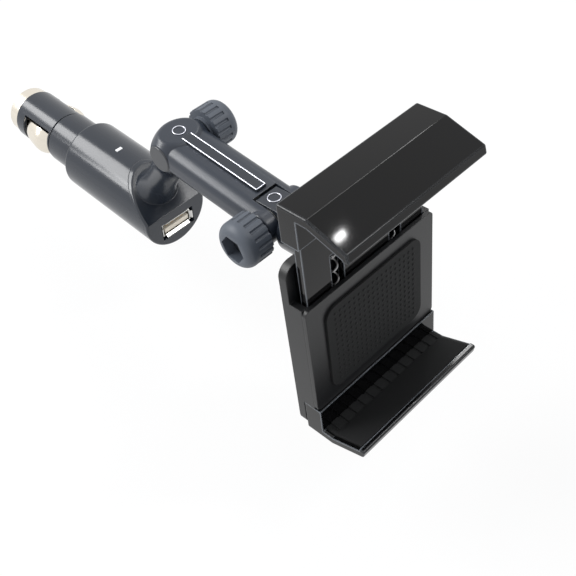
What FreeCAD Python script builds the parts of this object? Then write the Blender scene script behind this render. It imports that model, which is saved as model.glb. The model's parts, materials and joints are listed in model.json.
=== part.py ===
import FreeCAD, Part
import math
import os

# Phone mount that plugs into a car's lighter socket: a plug with a USB port, a neck, a hinged arm with
# two clamping knobs, and a swivelling holder with a fixed lower jaw and a sliding upper jaw.
# Frame: the plug's axis is Y and points into the socket, Z is up, the driver sits on the -Y side.
# The origin is on the plug's axis at the shoulder between the slim barrel and the thick body.
# All sizes are in millimetres and all angles in degrees.

# Fits
RUNNING_FIT = 0.05
SEAT_GAP = 0.3
SLIDE_GAP = 0.4

# Plug barrel
BARREL_R = 10.4
BARREL_LENGTH = 38.0
BARREL_WALL = 1.7
BARREL_FRONT_WALL = 2.5
BARREL_END_CHAMFER = 0.7
BARREL_NECK_STEP = 0.2
BARREL_LEAD_STEP = 0.3
BARREL_SEAT_TO_SLOT = 0.8
BARREL_GROOVE_WIDTH = 0.9
BARREL_GROOVE_DEPTH = 0.7
BARREL_FLANGE = 2.0
FUSE_TUBE_WALL = 1.2
FUSE_TUBE_REACH = 32.0

# Side contacts
CONTACT_SLOT_TO_END = 5.4
CONTACT_SLOT_LENGTH = 16.2
CONTACT_SLOT_HALF_HEIGHT = 6.6
CONTACT_SHEET = 0.9
CONTACT_STANDS_OUT = 1.5
CONTACT_SECTION_R = 7.1
CONTACT_HALF_ANGLE = 61.0
CONTACT_FOOT = 1.2
CONTACT_END_GAP = 0.5
CONTACT_RISE_RATIOS = ((0.0, 0.0), (0.1, 0.6), (0.28, 1.0), (0.55, 0.93), (0.86, 0.58), (1.0, 0.0))

# Nose, centre contact, fuse and spring
NOSE_R = 9.5
NOSE_LENGTH = 6.2
NOSE_EDGE = 1.6
NOSE_THREAD_R = 7.0
PIN_R = 2.6
PIN_STANDS_OUT = 4.0
PIN_FLANGE_R = 3.1
PIN_FLANGE = 1.5
PIN_TIP_ROUND = 1.4
FUSE_R = 3.1
FUSE_LENGTH = 20.0
FUSE_CAP_LENGTH = 5.0
FUSE_GLASS_INSET = 0.25
SPRING_WIRE_R = 0.35
SPRING_TURNS = 5

# Body shell and front cap
BODY_R = 13.5
BODY_LENGTH = 50.0
BODY_WALL = 2.0
SHOULDER_ROUND = 1.0
FACE_TOP_Z = 2.4
NECK_LEAN = 33.0
CAP_FLANGE = 2.2
CAP_SPIGOT = 2.5
CAP_RIM_ROUND = 0.9
LED_Y = -20.2
LED_WIDTH = 2.6
LED_DEPTH = 1.3
LED_PROUD = 0.25

# USB port
USB_Z = -5.1
USB_WIDTH = 13.1
USB_HEIGHT = 5.7
USB_DEPTH = 14.0
USB_SHEET = 0.4
USB_FLARE = 0.65
USB_FLARE_DEPTH = 1.0
USB_CORNER_GAP = 1.1
USB_TONGUE_WIDTH = 11.1
USB_TONGUE_THICK = 1.9
USB_TONGUE_SET_BACK = 0.9
USB_TONGUE_DROP = 0.5
USB_BLOCK_DEPTH = 4.5
USB_CONTACT_WIDTH = 1.2
USB_CONTACT_THICK = 0.25
USB_CONTACT_LENGTH = 6.5
USB_CONTACT_PITCH = 2.4
USB_CONTACT_COUNT = 4

# Circuit board and its parts
BOARD_THICK = 1.6
BOARD_FRONT_GAP = 2.8
BOARD_REAR_Y = -6.5
INDUCTOR_R = 4.2
INDUCTOR_WAIST_R = 3.2
INDUCTOR_HEIGHT = 5.0
INDUCTOR_RIM = 0.9
INDUCTOR_RATIO = 0.57
CAPACITOR_R = 2.6
CAPACITOR_HEIGHT = 6.0
CAPACITOR_RING = 0.4
CAPACITOR_RATIOS = (0.32, 0.833)

# Neck between the plug and the arm
NECK_BASE_ALONG = 10.8
NECK_LENGTH = 34.4
NECK_FOOT_ROWS = ((-1.2, 8.9, 7.7), (1.2, 7.6, 6.9), (4.0, 6.6, 6.3), (9.0, 6.0, 5.7))
NECK_CUP_ROWS = ((18.0, 6.0, 5.7), (23.5, 6.6, 6.2), (26.5, 7.6, 7.0), (28.4, 8.3, 7.7))
LUG_R = 3.9
LUG_WIDTH = 6.0
LUG_HALF_DEPTH = 3.4
LUG_ROOT = 1.2

# Arm
ARM_LENGTH = 46.0
ARM_TILT = 2.2
ARM_WIDTH = 18.5
ARM_HEIGHT = 11.2
ARM_EDGE = 4.6
ARM_HUB_EDGE = 0.9
NECK_HUB_R = 8.7
NECK_HUB_END_R = 4.6
NECK_HUB_TOP = 6.4
NECK_HUB_TOP_ROUND = 2.0
NECK_SLOT_ROOT = 4.6
STRIP_WIDTH = 4.0
STRIP_INSET = 0.5
STRIP_PROUD = 1.0
STRIP_FROM = 3.4
STRIP_TO = 38.0
STRIP_EDGE = 0.35
MARK_RING_R = 2.3
MARK_RING_LINE = 0.4
MARK_RING_PROUD = 0.2
MARK_RING_SHIFT = 1.6

# Hinge bolts, knobs, nuts and washers
BOLT_R = 2.5
BOLT_HEAD_R = 4.7
BOLT_HEAD = 1.9
BOLT_HEAD_INSET = 1.6
BOLT_HEAD_ROUND = 0.5
WASHER_R = 5.0
WASHER_THICK = 0.5
KNOB_R = 7.8
KNOB_LENGTH = 9.6
KNOB_BOSS_R = 5.2
KNOB_BOSS = 1.2
KNOB_DOME = 3.2
KNOB_RIBS = 18
KNOB_GROOVE_R = 0.6
KNOB_GROOVE_OUT = 0.1
KNOB_GROOVE_LENGTH = 5.6
KNOB_FLOOR = 2.2
NUT_ACROSS_FLATS = 8.0
NUT_THICK = 4.0
NUT_POCKET_GAP = 0.1

# Holder's knuckle and swivel
KNUCKLE_R = 8.0
KNUCKLE_TOP = 6.0
KNUCKLE_EDGE = 0.8
KNUCKLE_WIDTH = 8.8
FORK_ROOT_R = 8.7
STEM_END_GAP = 0.8
HOLDER_TILT = 6.0
HINGE_BACK = 46.05
HINGE_UP = 7.1
STEM_R = 8.5
STEM_NECK_R = 6.6
STEM_FLANGE_R = 10.2
STEM_FLANGE = 3.6
STEM_EDGE = 1.0
SWIVEL_WASHER_THICK = 0.8
COLLAR_R = 14.6
COLLAR_LIP = 2.4
COLLAR_FLUTES = 24
COLLAR_FLUTE_R = 0.8
HUB_R = 12.6
HUB_FLOOR = 0.8

# Clamp, in a frame whose Y is 0 at the held phone's front face and Z is 0 at the middle of the grip
GRIP_BACK = 8.2
JAW_HALF_WIDTH = 27.2
JAW_BACK = 14.7
JAW_TOP = 44.8
JAW_FOLD_Y = 4.4
JAW_FRONT_Y = -8.2
JAW_FRONT_Z = 40.5
JAW_LIP_Y = -8.9
JAW_LIP_Z = 37.5
JAW_LIP_THICK = 2.0
JAW_ROOF = 2.7
JAW_WALL_BOTTOM = 32.65
JAW_FOLD_ROUND = 1.2
JAW_EDGE_ROUND = 0.7
JAW_SIDE_ROUND = 0.6
JAW_CORNER_ROUND = 1.6
PAD_THICK = 0.9
PAD_SIDE_GAP = 1.5
PAD_RIB_PITCH = 4.0
PAD_RIB_WIDTH = 1.2
PAD_RIB_DEPTH = 0.35
RAIL_WIDTH = 2.3
TONGUE_FRONT = 10.7
TONGUE_THICK = 2.4
TONGUE_BOTTOM = -9.5
TONGUE_SLOT_TOP = 20.5
FRONT_PLATE_FRONT = 9.0
FRONT_PLATE_THICK = 1.4
FRONT_PLATE_TOP = 9.5
BACK_PLATE_THICK = 2.8
BACK_PLATE_TOP = 22.0
BACK_PLATE_CORNER = 4.0
BACK_RIB_TO_SIDE = 6.7
BACK_RIB_WIDTH = 2.0
BACK_PAD_TO_SIDE = 6.7
BACK_PAD_BOTTOM = -28.0
BACK_PAD_TOP = 5.0
CLAMP_SPRING_X = 12.0
CLAMP_SPRING_R = 1.7
CLAMP_SPRING_TURNS = 9
CLAMP_SPRING_SLOT = 5.0
CLAMP_PEG_R = 1.0
CLAMP_PEG_Z = -27.0
SCREW_R = 1.2
SCREW_HEAD_R = 2.2
SCREW_HEAD = 1.2
SCREW_LENGTH = 5.5
SCREW_TO_SIDE = 4.4
SCREW_ZS = (-34.9, -39.6)

V = FreeCAD.Vector
SEAM_TURN = 90.0
X_AXIS = V(1, 0, 0)
Y_AXIS = V(0, 1, 0)
Z_AXIS = V(0, 0, 1)
LEAN_SIN = math.sin(math.radians(NECK_LEAN))
LEAN_COS = math.cos(math.radians(NECK_LEAN))

# Places worked out from the sizes above
FACE_Y = -BODY_LENGTH
NECK_BASE = V(0, FACE_Y + NECK_BASE_ALONG * LEAN_COS, FACE_TOP_Z + NECK_BASE_ALONG * LEAN_SIN)
NECK_DIR = V(0, -LEAN_SIN, LEAN_COS)
ARM_PIVOT = NECK_BASE + NECK_DIR * NECK_LENGTH
ARM_RAD = math.radians(ARM_TILT)
HOLDER_PIVOT = ARM_PIVOT + V(0, -ARM_LENGTH * math.cos(ARM_RAD), -ARM_LENGTH * math.sin(ARM_RAD))
BODY_BORE_R = BODY_R - BODY_WALL
BOARD_FRONT_Y = FACE_Y + CAP_FLANGE + CAP_SPIGOT + BOARD_FRONT_GAP
BARREL_NECK_R = BARREL_R - BARREL_NECK_STEP
CONTACT_SLOT_START = BARREL_LENGTH - CONTACT_SLOT_TO_END - CONTACT_SLOT_LENGTH
BARREL_BORE_R = BARREL_R - BARREL_WALL
FUSE_BORE_R = FUSE_R + SEAT_GAP
ARM_HALF = ARM_WIDTH / 2
ARM_R = ARM_HEIGHT / 2
HOUSING_FRONT = JAW_BACK + SEAT_GAP
HOUSING_BACK = HOUSING_FRONT + BACK_PLATE_THICK
TONGUE_HALF_WIDTH = JAW_HALF_WIDTH - RAIL_WIDTH - SLIDE_GAP
BACK_RIB_X = JAW_HALF_WIDTH - BACK_RIB_TO_SIDE
BACK_PAD_HALF_WIDTH = JAW_HALF_WIDTH - BACK_PAD_TO_SIDE
SCREW_X = JAW_HALF_WIDTH - SCREW_TO_SIDE


def cylinder(radius, start, end):
    """Return a round bar between two points."""
    along = end - start
    return Part.makeCylinder(radius, along.Length, start, along)


def bar_x(radius, x0, x1, y=0.0, z=0.0):
    """Return a round bar along X."""
    return cylinder(radius, V(x0, y, z), V(x1, y, z))


def bar_y(radius, y0, y1, x=0.0, z=0.0):
    """Return a round bar along Y."""
    return cylinder(radius, V(x, y0, z), V(x, y1, z))


def bar_z(radius, z0, z1, x=0.0, y=0.0):
    """Return a round bar along Z."""
    return cylinder(radius, V(x, y, z0), V(x, y, z1))


def block(x0, x1, y0, y1, z0, z1):
    """Return a box between two corners."""
    return Part.makeBox(x1 - x0, y1 - y0, z1 - z0, V(x0, y0, z0))


def face_of(points):
    """Return the flat face inside a closed outline."""
    return Part.Face(Part.makePolygon(points + [points[0]]))


def prism_x(outline, half_width):
    """Return a side outline of (y, z) points, extruded evenly to both sides of X = 0."""
    side = face_of([V(-half_width, y, z) for y, z in outline])
    return side.extrude(X_AXIS * (2 * half_width))


def turned_y(outline):
    """Return a (radius, y) outline turned about the Y axis."""
    return face_of([V(r, y, 0) for r, y in outline]).revolve(V(0, 0, 0), Y_AXIS, 360)


def round_edges(solid, radius, wanted):
    """Return the solid with a fillet on each edge that the test wants."""
    edges = [edge for edge in solid.Edges if wanted(edge)]
    return solid.makeFillet(radius, edges)


def hexagon_x(across_flats, x0, x1):
    """Return a hexagonal bar along X."""
    corner_r = across_flats / 2 / math.cos(math.radians(30))
    turns = [math.radians(60 * k) for k in range(6)]
    outline = [V(x0, corner_r * math.cos(a), corner_r * math.sin(a)) for a in turns]
    return face_of(outline).extrude(X_AXIS * (x1 - x0))


def coil(radius, wire_r, turns, length, start, direction):
    """Return a coil spring whose middle line starts at a point and runs along a direction."""
    helix = Part.makeHelix(length / turns, length, radius)
    first = helix.Edges[0].valueAt(helix.Edges[0].FirstParameter)
    tangent = helix.Edges[0].tangentAt(helix.Edges[0].FirstParameter)
    section = Part.Wire(Part.makeCircle(wire_r, first, tangent))
    pipe = Part.Wire(helix.Edges).makePipeShell([section], True, True)
    pipe.Placement = FreeCAD.Placement(start, FreeCAD.Rotation(Z_AXIS, direction))
    return pipe


def on_arm(shape):
    """Place a shape that was made with the neck hinge at the origin and the arm along -Y."""
    placed = shape.copy()
    placed.rotate(V(0, 0, 0), X_AXIS, ARM_TILT)
    placed.translate(ARM_PIVOT)
    return placed


def on_clamp(shape):
    """Place a shape that was made in the clamp's own frame."""
    placed = shape.copy()
    placed.translate(V(0, -HINGE_BACK, -HINGE_UP))
    placed.rotate(V(0, 0, 0), X_AXIS, -HOLDER_TILT)
    placed.translate(HOLDER_PIVOT)
    return placed


def behind_front(shift):
    """Return the half space behind the plug's front: an upright face with a slanted top, moved back."""
    front = FACE_Y + shift
    far = 2 * BODY_LENGTH
    slope_top = (front + far * LEAN_COS, FACE_TOP_Z + far * LEAN_SIN)
    outline = [(front, -far), (front, FACE_TOP_Z), slope_top, (far, far), (far, -far)]
    return prism_x(outline, far)


def plug_barrel():
    """Slim barrel with a fuse tube inside, a flange behind the shoulder and two windows for the contacts."""
    groove_end = CONTACT_SLOT_START - BARREL_SEAT_TO_SLOT
    seat_end = groove_end - BARREL_GROOVE_WIDTH
    groove_r = BARREL_R - BARREL_GROOVE_DEPTH
    lead_r = BARREL_R - BARREL_LEAD_STEP
    flange_r = BODY_BORE_R - SEAT_GAP
    shell = turned_y([
        (0, -BODY_WALL - BARREL_FLANGE), (flange_r, -BODY_WALL - BARREL_FLANGE), (flange_r, -BODY_WALL),
        (BARREL_NECK_R, -BODY_WALL), (BARREL_NECK_R, 0), (BARREL_R, 0), (BARREL_R, seat_end),
        (groove_r, seat_end), (groove_r, groove_end), (lead_r, groove_end),
        (lead_r, BARREL_LENGTH - BARREL_END_CHAMFER), (lead_r - BARREL_END_CHAMFER, BARREL_LENGTH),
        (0, BARREL_LENGTH)])
    hollow = bar_y(BARREL_BORE_R, -BODY_LENGTH, BARREL_LENGTH - BARREL_FRONT_WALL)
    tube_start = BARREL_LENGTH - FUSE_TUBE_REACH
    tube = bar_y(FUSE_BORE_R + FUSE_TUBE_WALL, tube_start, BARREL_LENGTH - BARREL_FRONT_WALL)
    web = bar_y(BARREL_BORE_R + SEAT_GAP, tube_start, tube_start + FUSE_TUBE_WALL)
    barrel = shell.cut(hollow).multiFuse([tube, web])
    barrel = barrel.cut(bar_y(FUSE_BORE_R, tube_start + FUSE_TUBE_WALL, BARREL_LENGTH))
    barrel = barrel.cut(bar_y(NOSE_THREAD_R, BARREL_LENGTH - BARREL_FRONT_WALL, BARREL_LENGTH))
    window_end = CONTACT_SLOT_START + CONTACT_SLOT_LENGTH
    for side in (-1, 1):
        reach = sorted((side * (FUSE_BORE_R + FUSE_TUBE_WALL + SEAT_GAP), side * 2 * BARREL_R))
        window = block(reach[0], reach[1], CONTACT_SLOT_START, window_end,
                       -CONTACT_SLOT_HALF_HEIGHT, CONTACT_SLOT_HALF_HEIGHT)
        barrel = barrel.cut(window)
    return barrel.removeSplitter()


def side_contact(side):
    """Sprung side contact: a pressed sheet with a curved crown and two feet under the barrel's wall."""
    crown_x = BARREL_R + CONTACT_STANDS_OUT
    axis_x = crown_x - CONTACT_SECTION_R
    foot_x = BARREL_BORE_R - SEAT_GAP
    y0 = CONTACT_SLOT_START + CONTACT_END_GAP
    y1 = CONTACT_SLOT_START + CONTACT_SLOT_LENGTH - CONTACT_END_GAP
    foot0 = CONTACT_SLOT_START - CONTACT_FOOT
    foot1 = CONTACT_SLOT_START + CONTACT_SLOT_LENGTH + CONTACT_FOOT
    inner = CONTACT_SHEET
    rise = crown_x - foot_x
    outer = Part.BSplineCurve()
    crown = [V(foot_x + up * rise, y0 + along * (y1 - y0), 0) for along, up in CONTACT_RISE_RATIOS]
    outer.interpolate(crown)
    under = Part.BSplineCurve()
    span = y1 - y0 - 2 * inner
    low_x = foot_x - inner
    low_y = y0 + inner
    under.interpolate([V(low_x + up * rise, low_y + along * span, 0) for along, up in CONTACT_RISE_RATIOS])
    edges = [
        Part.makeLine(V(foot_x - inner, foot0, 0), V(foot_x, foot0, 0)),
        Part.makeLine(V(foot_x, foot0, 0), V(foot_x, y0, 0)),
        outer.toShape(),
        Part.makeLine(V(foot_x, y1, 0), V(foot_x, foot1, 0)),
        Part.makeLine(V(foot_x, foot1, 0), V(foot_x - inner, foot1, 0)),
        Part.makeLine(V(foot_x - inner, foot1, 0), V(foot_x - inner, y1 - inner, 0)),
        under.toShape(),
        Part.makeLine(V(foot_x - inner, y0 + inner, 0), V(foot_x - inner, foot0, 0)),
    ]
    profile = Part.Face(Part.Wire(edges))
    profile.rotate(V(axis_x, 0, 0), Y_AXIS, -CONTACT_HALF_ANGLE)
    contact = profile.revolve(V(axis_x, 0, 0), Y_AXIS, 2 * CONTACT_HALF_ANGLE)
    if side < 0:
        contact.rotate(V(0, 0, 0), Y_AXIS, 180)
    return contact


def nose_cap():
    """Turned metal cap screwed into the barrel's end, with a hole for the centre contact."""
    end = BARREL_LENGTH + NOSE_LENGTH
    inner_end = BARREL_LENGTH - BARREL_FRONT_WALL
    hole = PIN_R + SEAT_GAP
    return turned_y([
        (hole, end), (NOSE_R - NOSE_EDGE, end), (NOSE_R, end - NOSE_EDGE), (NOSE_R, BARREL_LENGTH),
        (NOSE_THREAD_R - RUNNING_FIT, BARREL_LENGTH), (NOSE_THREAD_R - RUNNING_FIT, inner_end),
        (FUSE_BORE_R, inner_end), (FUSE_BORE_R, end - NOSE_EDGE), (hole, end - NOSE_EDGE)])


def pin_seat_y():
    """Return where the centre contact's flange stops against the nose cap."""
    return BARREL_LENGTH + NOSE_LENGTH - NOSE_EDGE - RUNNING_FIT


def centre_contact():
    """Sprung centre contact with a round tip and a flange inside the nose cap."""
    seat = pin_seat_y()
    tip = BARREL_LENGTH + NOSE_LENGTH + PIN_STANDS_OUT
    pin = turned_y([
        (0, seat - PIN_FLANGE), (PIN_FLANGE_R, seat - PIN_FLANGE), (PIN_FLANGE_R, seat), (PIN_R, seat),
        (PIN_R, tip), (0, tip)])
    return round_edges(pin, PIN_TIP_ROUND, lambda edge: edge.BoundBox.YMin > tip - 0.01)


def fuse():
    """Glass fuse with two metal end caps, right behind the centre contact."""
    front = pin_seat_y() - PIN_FLANGE
    back = front - FUSE_LENGTH
    glass_r = FUSE_R - FUSE_GLASS_INSET
    return turned_y([
        (0, back), (FUSE_R, back), (FUSE_R, back + FUSE_CAP_LENGTH), (glass_r, back + FUSE_CAP_LENGTH),
        (glass_r, front - FUSE_CAP_LENGTH), (FUSE_R, front - FUSE_CAP_LENGTH), (FUSE_R, front), (0, front)])


def contact_spring():
    """Coil spring between the fuse and the closed end of the fuse tube."""
    floor = BARREL_LENGTH - FUSE_TUBE_REACH + FUSE_TUBE_WALL + SPRING_WIRE_R
    top = pin_seat_y() - PIN_FLANGE - FUSE_LENGTH - SPRING_WIRE_R
    radius = FUSE_R - SPRING_WIRE_R - SEAT_GAP
    return coil(radius, SPRING_WIRE_R, SPRING_TURNS, top - floor, V(0, floor, 0), Y_AXIS)


def led_window(gap):
    """Return the block that fills the LED's window, grown by a gap."""
    half_w = LED_WIDTH / 2 + gap
    half_d = LED_DEPTH / 2 + gap
    return block(-half_w, half_w, LED_Y - half_d, LED_Y + half_d, BODY_BORE_R, BODY_R + BODY_WALL)


def body_shell():
    """Thick tube round the charger, closed at the shoulder and cut slanting at the front."""
    hole = BARREL_NECK_R + RUNNING_FIT
    corner = SHOULDER_ROUND * (1 - math.sqrt(0.5))
    shoulder = Part.Arc(V(BODY_R, -SHOULDER_ROUND, 0), V(BODY_R - corner, -corner, 0),
                        V(BODY_R - SHOULDER_ROUND, 0, 0)).toShape()
    rest = Part.makePolygon([V(BODY_R - SHOULDER_ROUND, 0, 0), V(hole, 0, 0), V(hole, -BODY_WALL, 0),
                             V(BODY_BORE_R, -BODY_WALL, 0), V(BODY_BORE_R, FACE_Y, 0), V(BODY_R, FACE_Y, 0),
                             V(BODY_R, -SHOULDER_ROUND, 0)])
    section = Part.Face(Part.Wire([shoulder] + rest.Edges))
    tube = section.revolve(V(0, 0, 0), Y_AXIS, 360)
    tube.rotate(V(0, 0, 0), Y_AXIS, SEAM_TURN)
    return tube.common(behind_front(CAP_FLANGE)).cut(led_window(RUNNING_FIT))


def led_lens():
    """Clear window over the charging light, crowned like the shell."""
    lens = led_window(0.0)
    return lens.common(bar_y(BODY_R + LED_PROUD, FACE_Y, 0))


def neck_section(along, half_x, half_depth):
    """Return an oval across the neck at a distance along it from the slanted face."""
    centre = NECK_BASE + NECK_DIR * along
    across = V(0, LEAN_COS, LEAN_SIN)
    oval = Part.Ellipse(centre + X_AXIS * half_x, centre + across * half_depth, centre)
    return Part.Wire(oval.toShape())


def neck_hub(gap):
    """Return the barrel-shaped hub at the arm's neck end, grown by a gap, with the hinge at the origin."""
    end_x = ARM_HALF + gap
    end_r = NECK_HUB_END_R + gap
    crown = Part.Arc(V(-end_x, end_r, 0), V(0, NECK_HUB_R + gap, 0), V(end_x, end_r, 0)).toShape()
    rest = Part.makePolygon([V(end_x, end_r, 0), V(end_x, 0, 0), V(-end_x, 0, 0), V(-end_x, end_r, 0)])
    return Part.Face(Part.Wire([crown] + rest.Edges)).revolve(V(0, 0, 0), X_AXIS, 360)


def neck():
    """Neck with a flared foot, a cup under the arm's round end and a lug for the hinge bolt."""
    rows = NECK_FOOT_ROWS + NECK_CUP_ROWS
    stem = Part.makeLoft([neck_section(*row) for row in rows], True, False)
    centre = ARM_PIVOT
    down = V(0, LEAN_SIN, -LEAN_COS)
    across = V(0, LEAN_COS, LEAN_SIN)
    room = neck_hub(SEAT_GAP)
    room.translate(centre)
    body = stem.cut(room)
    lug_half = LUG_WIDTH / 2
    side = across * LUG_HALF_DEPTH
    foot = centre + down * (NECK_HUB_R + SEAT_GAP + LUG_ROOT)
    web = face_of([V(-lug_half, p.y, p.z) for p in (centre - side, centre + side, foot + side, foot - side)])
    lug = web.extrude(X_AXIS * LUG_WIDTH).fuse(bar_x(LUG_R, -lug_half, lug_half, centre.y, centre.z))
    body = body.fuse(lug)
    return body.cut(bar_x(BOLT_R + RUNNING_FIT, -BODY_R, BODY_R, centre.y, centre.z))


def front_cap():
    """Front moulding: the face with the USB opening, a spigot inside the shell and the neck."""
    disc = bar_y(BODY_R, FACE_Y, 0).common(behind_front(0)).cut(behind_front(CAP_FLANGE))
    disc = round_edges(disc, CAP_RIM_ROUND, lambda edge: cap_rim(edge))
    spigot = bar_y(BODY_BORE_R - RUNNING_FIT, FACE_Y, 0).common(behind_front(CAP_FLANGE))
    spigot = spigot.cut(behind_front(CAP_FLANGE + CAP_SPIGOT))
    cap = disc.fuse(spigot).fuse(neck())
    half_w = USB_WIDTH / 2 + USB_FLARE + SEAT_GAP
    half_h = USB_HEIGHT / 2 + USB_FLARE + SEAT_GAP
    mouth = block(-half_w, half_w, 2 * FACE_Y, FACE_Y + CAP_FLANGE + CAP_SPIGOT + 1,
                  USB_Z - half_h, USB_Z + half_h)
    return cap.cut(mouth).removeSplitter()


def cap_rim(edge):
    """Tell whether an edge of the plain front disc lies on its outer front rim."""
    box = edge.BoundBox
    mid = edge.valueAt((edge.FirstParameter + edge.LastParameter) / 2)
    on_rim = abs(math.hypot(mid.x, mid.z) - BODY_R) < 0.01
    front_y = FACE_Y + max(0.0, (mid.z - FACE_TOP_Z)) * LEAN_COS / LEAN_SIN
    return on_rim and abs(mid.y - front_y) < 0.01 and box.DiagonalLength > 1.0


def usb_shell():
    """Folded steel shell of the USB socket, with four flared lips at its mouth."""
    half_w = USB_WIDTH / 2
    half_h = USB_HEIGHT / 2
    rear = FACE_Y + USB_DEPTH
    start = FACE_Y + USB_FLARE_DEPTH
    shell = block(-half_w, half_w, start, rear, USB_Z - half_h, USB_Z + half_h)
    inner_w = half_w - USB_SHEET
    inner_h = half_h - USB_SHEET
    shell = shell.cut(block(-inner_w, inner_w, start, rear - USB_SHEET, USB_Z - inner_h, USB_Z + inner_h))
    long_half = half_w - USB_CORNER_GAP
    short_half = half_h - USB_CORNER_GAP
    for side in (-1, 1):
        lip = [V(-long_half, start, USB_Z + side * inner_h), V(-long_half, start, USB_Z + side * half_h),
               V(-long_half, FACE_Y, USB_Z + side * (half_h + USB_FLARE)),
               V(-long_half, FACE_Y, USB_Z + side * (inner_h + USB_FLARE))]
        shell = shell.fuse(face_of(lip).extrude(X_AXIS * (2 * long_half)))
        lip = [V(side * inner_w, start, USB_Z - short_half), V(side * half_w, start, USB_Z - short_half),
               V(side * (half_w + USB_FLARE), FACE_Y, USB_Z - short_half),
               V(side * (inner_w + USB_FLARE), FACE_Y, USB_Z - short_half)]
        shell = shell.fuse(face_of(lip).extrude(Z_AXIS * (2 * short_half)))
    return shell.removeSplitter()


def tongue_top():
    """Return the height of the USB tongue's upper face."""
    return USB_Z - USB_TONGUE_DROP + USB_TONGUE_THICK / 2


def usb_tongue():
    """Moulded insulator of the USB socket: a block at the back and a tongue towards the mouth."""
    inner_w = USB_WIDTH / 2 - USB_SHEET
    inner_h = USB_HEIGHT / 2 - USB_SHEET
    rear = FACE_Y + USB_DEPTH - USB_SHEET
    back = block(-inner_w, inner_w, rear - USB_BLOCK_DEPTH, rear, USB_Z - inner_h, USB_Z + inner_h)
    half = USB_TONGUE_WIDTH / 2
    tongue = block(-half, half, FACE_Y + USB_TONGUE_SET_BACK, rear - USB_BLOCK_DEPTH,
                   tongue_top() - USB_TONGUE_THICK, tongue_top())
    return back.fuse(tongue).removeSplitter()


def usb_contacts():
    """Four spring contacts on the tongue's upper face."""
    front = FACE_Y + USB_TONGUE_SET_BACK + USB_CONTACT_WIDTH
    strips = []
    for k in range(USB_CONTACT_COUNT):
        x = (k - (USB_CONTACT_COUNT - 1) / 2) * USB_CONTACT_PITCH
        strips.append(block(x - USB_CONTACT_WIDTH / 2, x + USB_CONTACT_WIDTH / 2, front,
                            front + USB_CONTACT_LENGTH, tongue_top(), tongue_top() + USB_CONTACT_THICK))
    return Part.makeCompound(strips)


def board_bottom():
    """Return the height of the board's lower face, which rests on the USB shell."""
    return USB_Z + USB_HEIGHT / 2


def circuit_board():
    """Circuit board lengthwise in the body, as wide as the bore lets it be."""
    low = board_bottom()
    reach = max(abs(low), abs(low + BOARD_THICK))
    half = math.sqrt((BODY_BORE_R - SEAT_GAP) ** 2 - reach ** 2)
    return block(-half, half, BOARD_FRONT_Y, BOARD_REAR_Y, low, low + BOARD_THICK)


def board_y(ratio):
    """Return the place along the plug at a share of the board's length from its front."""
    return BOARD_FRONT_Y + ratio * (BOARD_REAR_Y - BOARD_FRONT_Y)


def inductor():
    """Wound drum core standing on the board."""
    low = board_bottom() + BOARD_THICK
    top = low + INDUCTOR_HEIGHT
    y = board_y(INDUCTOR_RATIO)
    waist = bar_z(INDUCTOR_WAIST_R, low, top, 0, y)
    rims = [bar_z(INDUCTOR_R, low, low + INDUCTOR_RIM, 0, y),
            bar_z(INDUCTOR_R, top - INDUCTOR_RIM, top, 0, y)]
    return waist.multiFuse(rims).removeSplitter()


def capacitors():
    """Two can capacitors standing on the board, each with a pressed ring near its foot."""
    low = board_bottom() + BOARD_THICK
    cans = []
    for ratio in CAPACITOR_RATIOS:
        y = board_y(ratio)
        can = bar_z(CAPACITOR_R, low, low + CAPACITOR_HEIGHT, 0, y)
        ring = Part.makeTorus(CAPACITOR_R, CAPACITOR_RING, V(0, y, low + 3 * CAPACITOR_RING), Z_AXIS)
        cans.append(can.cut(ring))
    return Part.makeCompound(cans)


def arm_section():
    """Return the arm's cross section in the XZ plane, before its long edges are rounded."""
    corners = ((-ARM_HALF, -ARM_R), (ARM_HALF, -ARM_R), (ARM_HALF, ARM_R), (-ARM_HALF, ARM_R))
    return face_of([V(x, 0, z) for x, z in corners])


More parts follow.
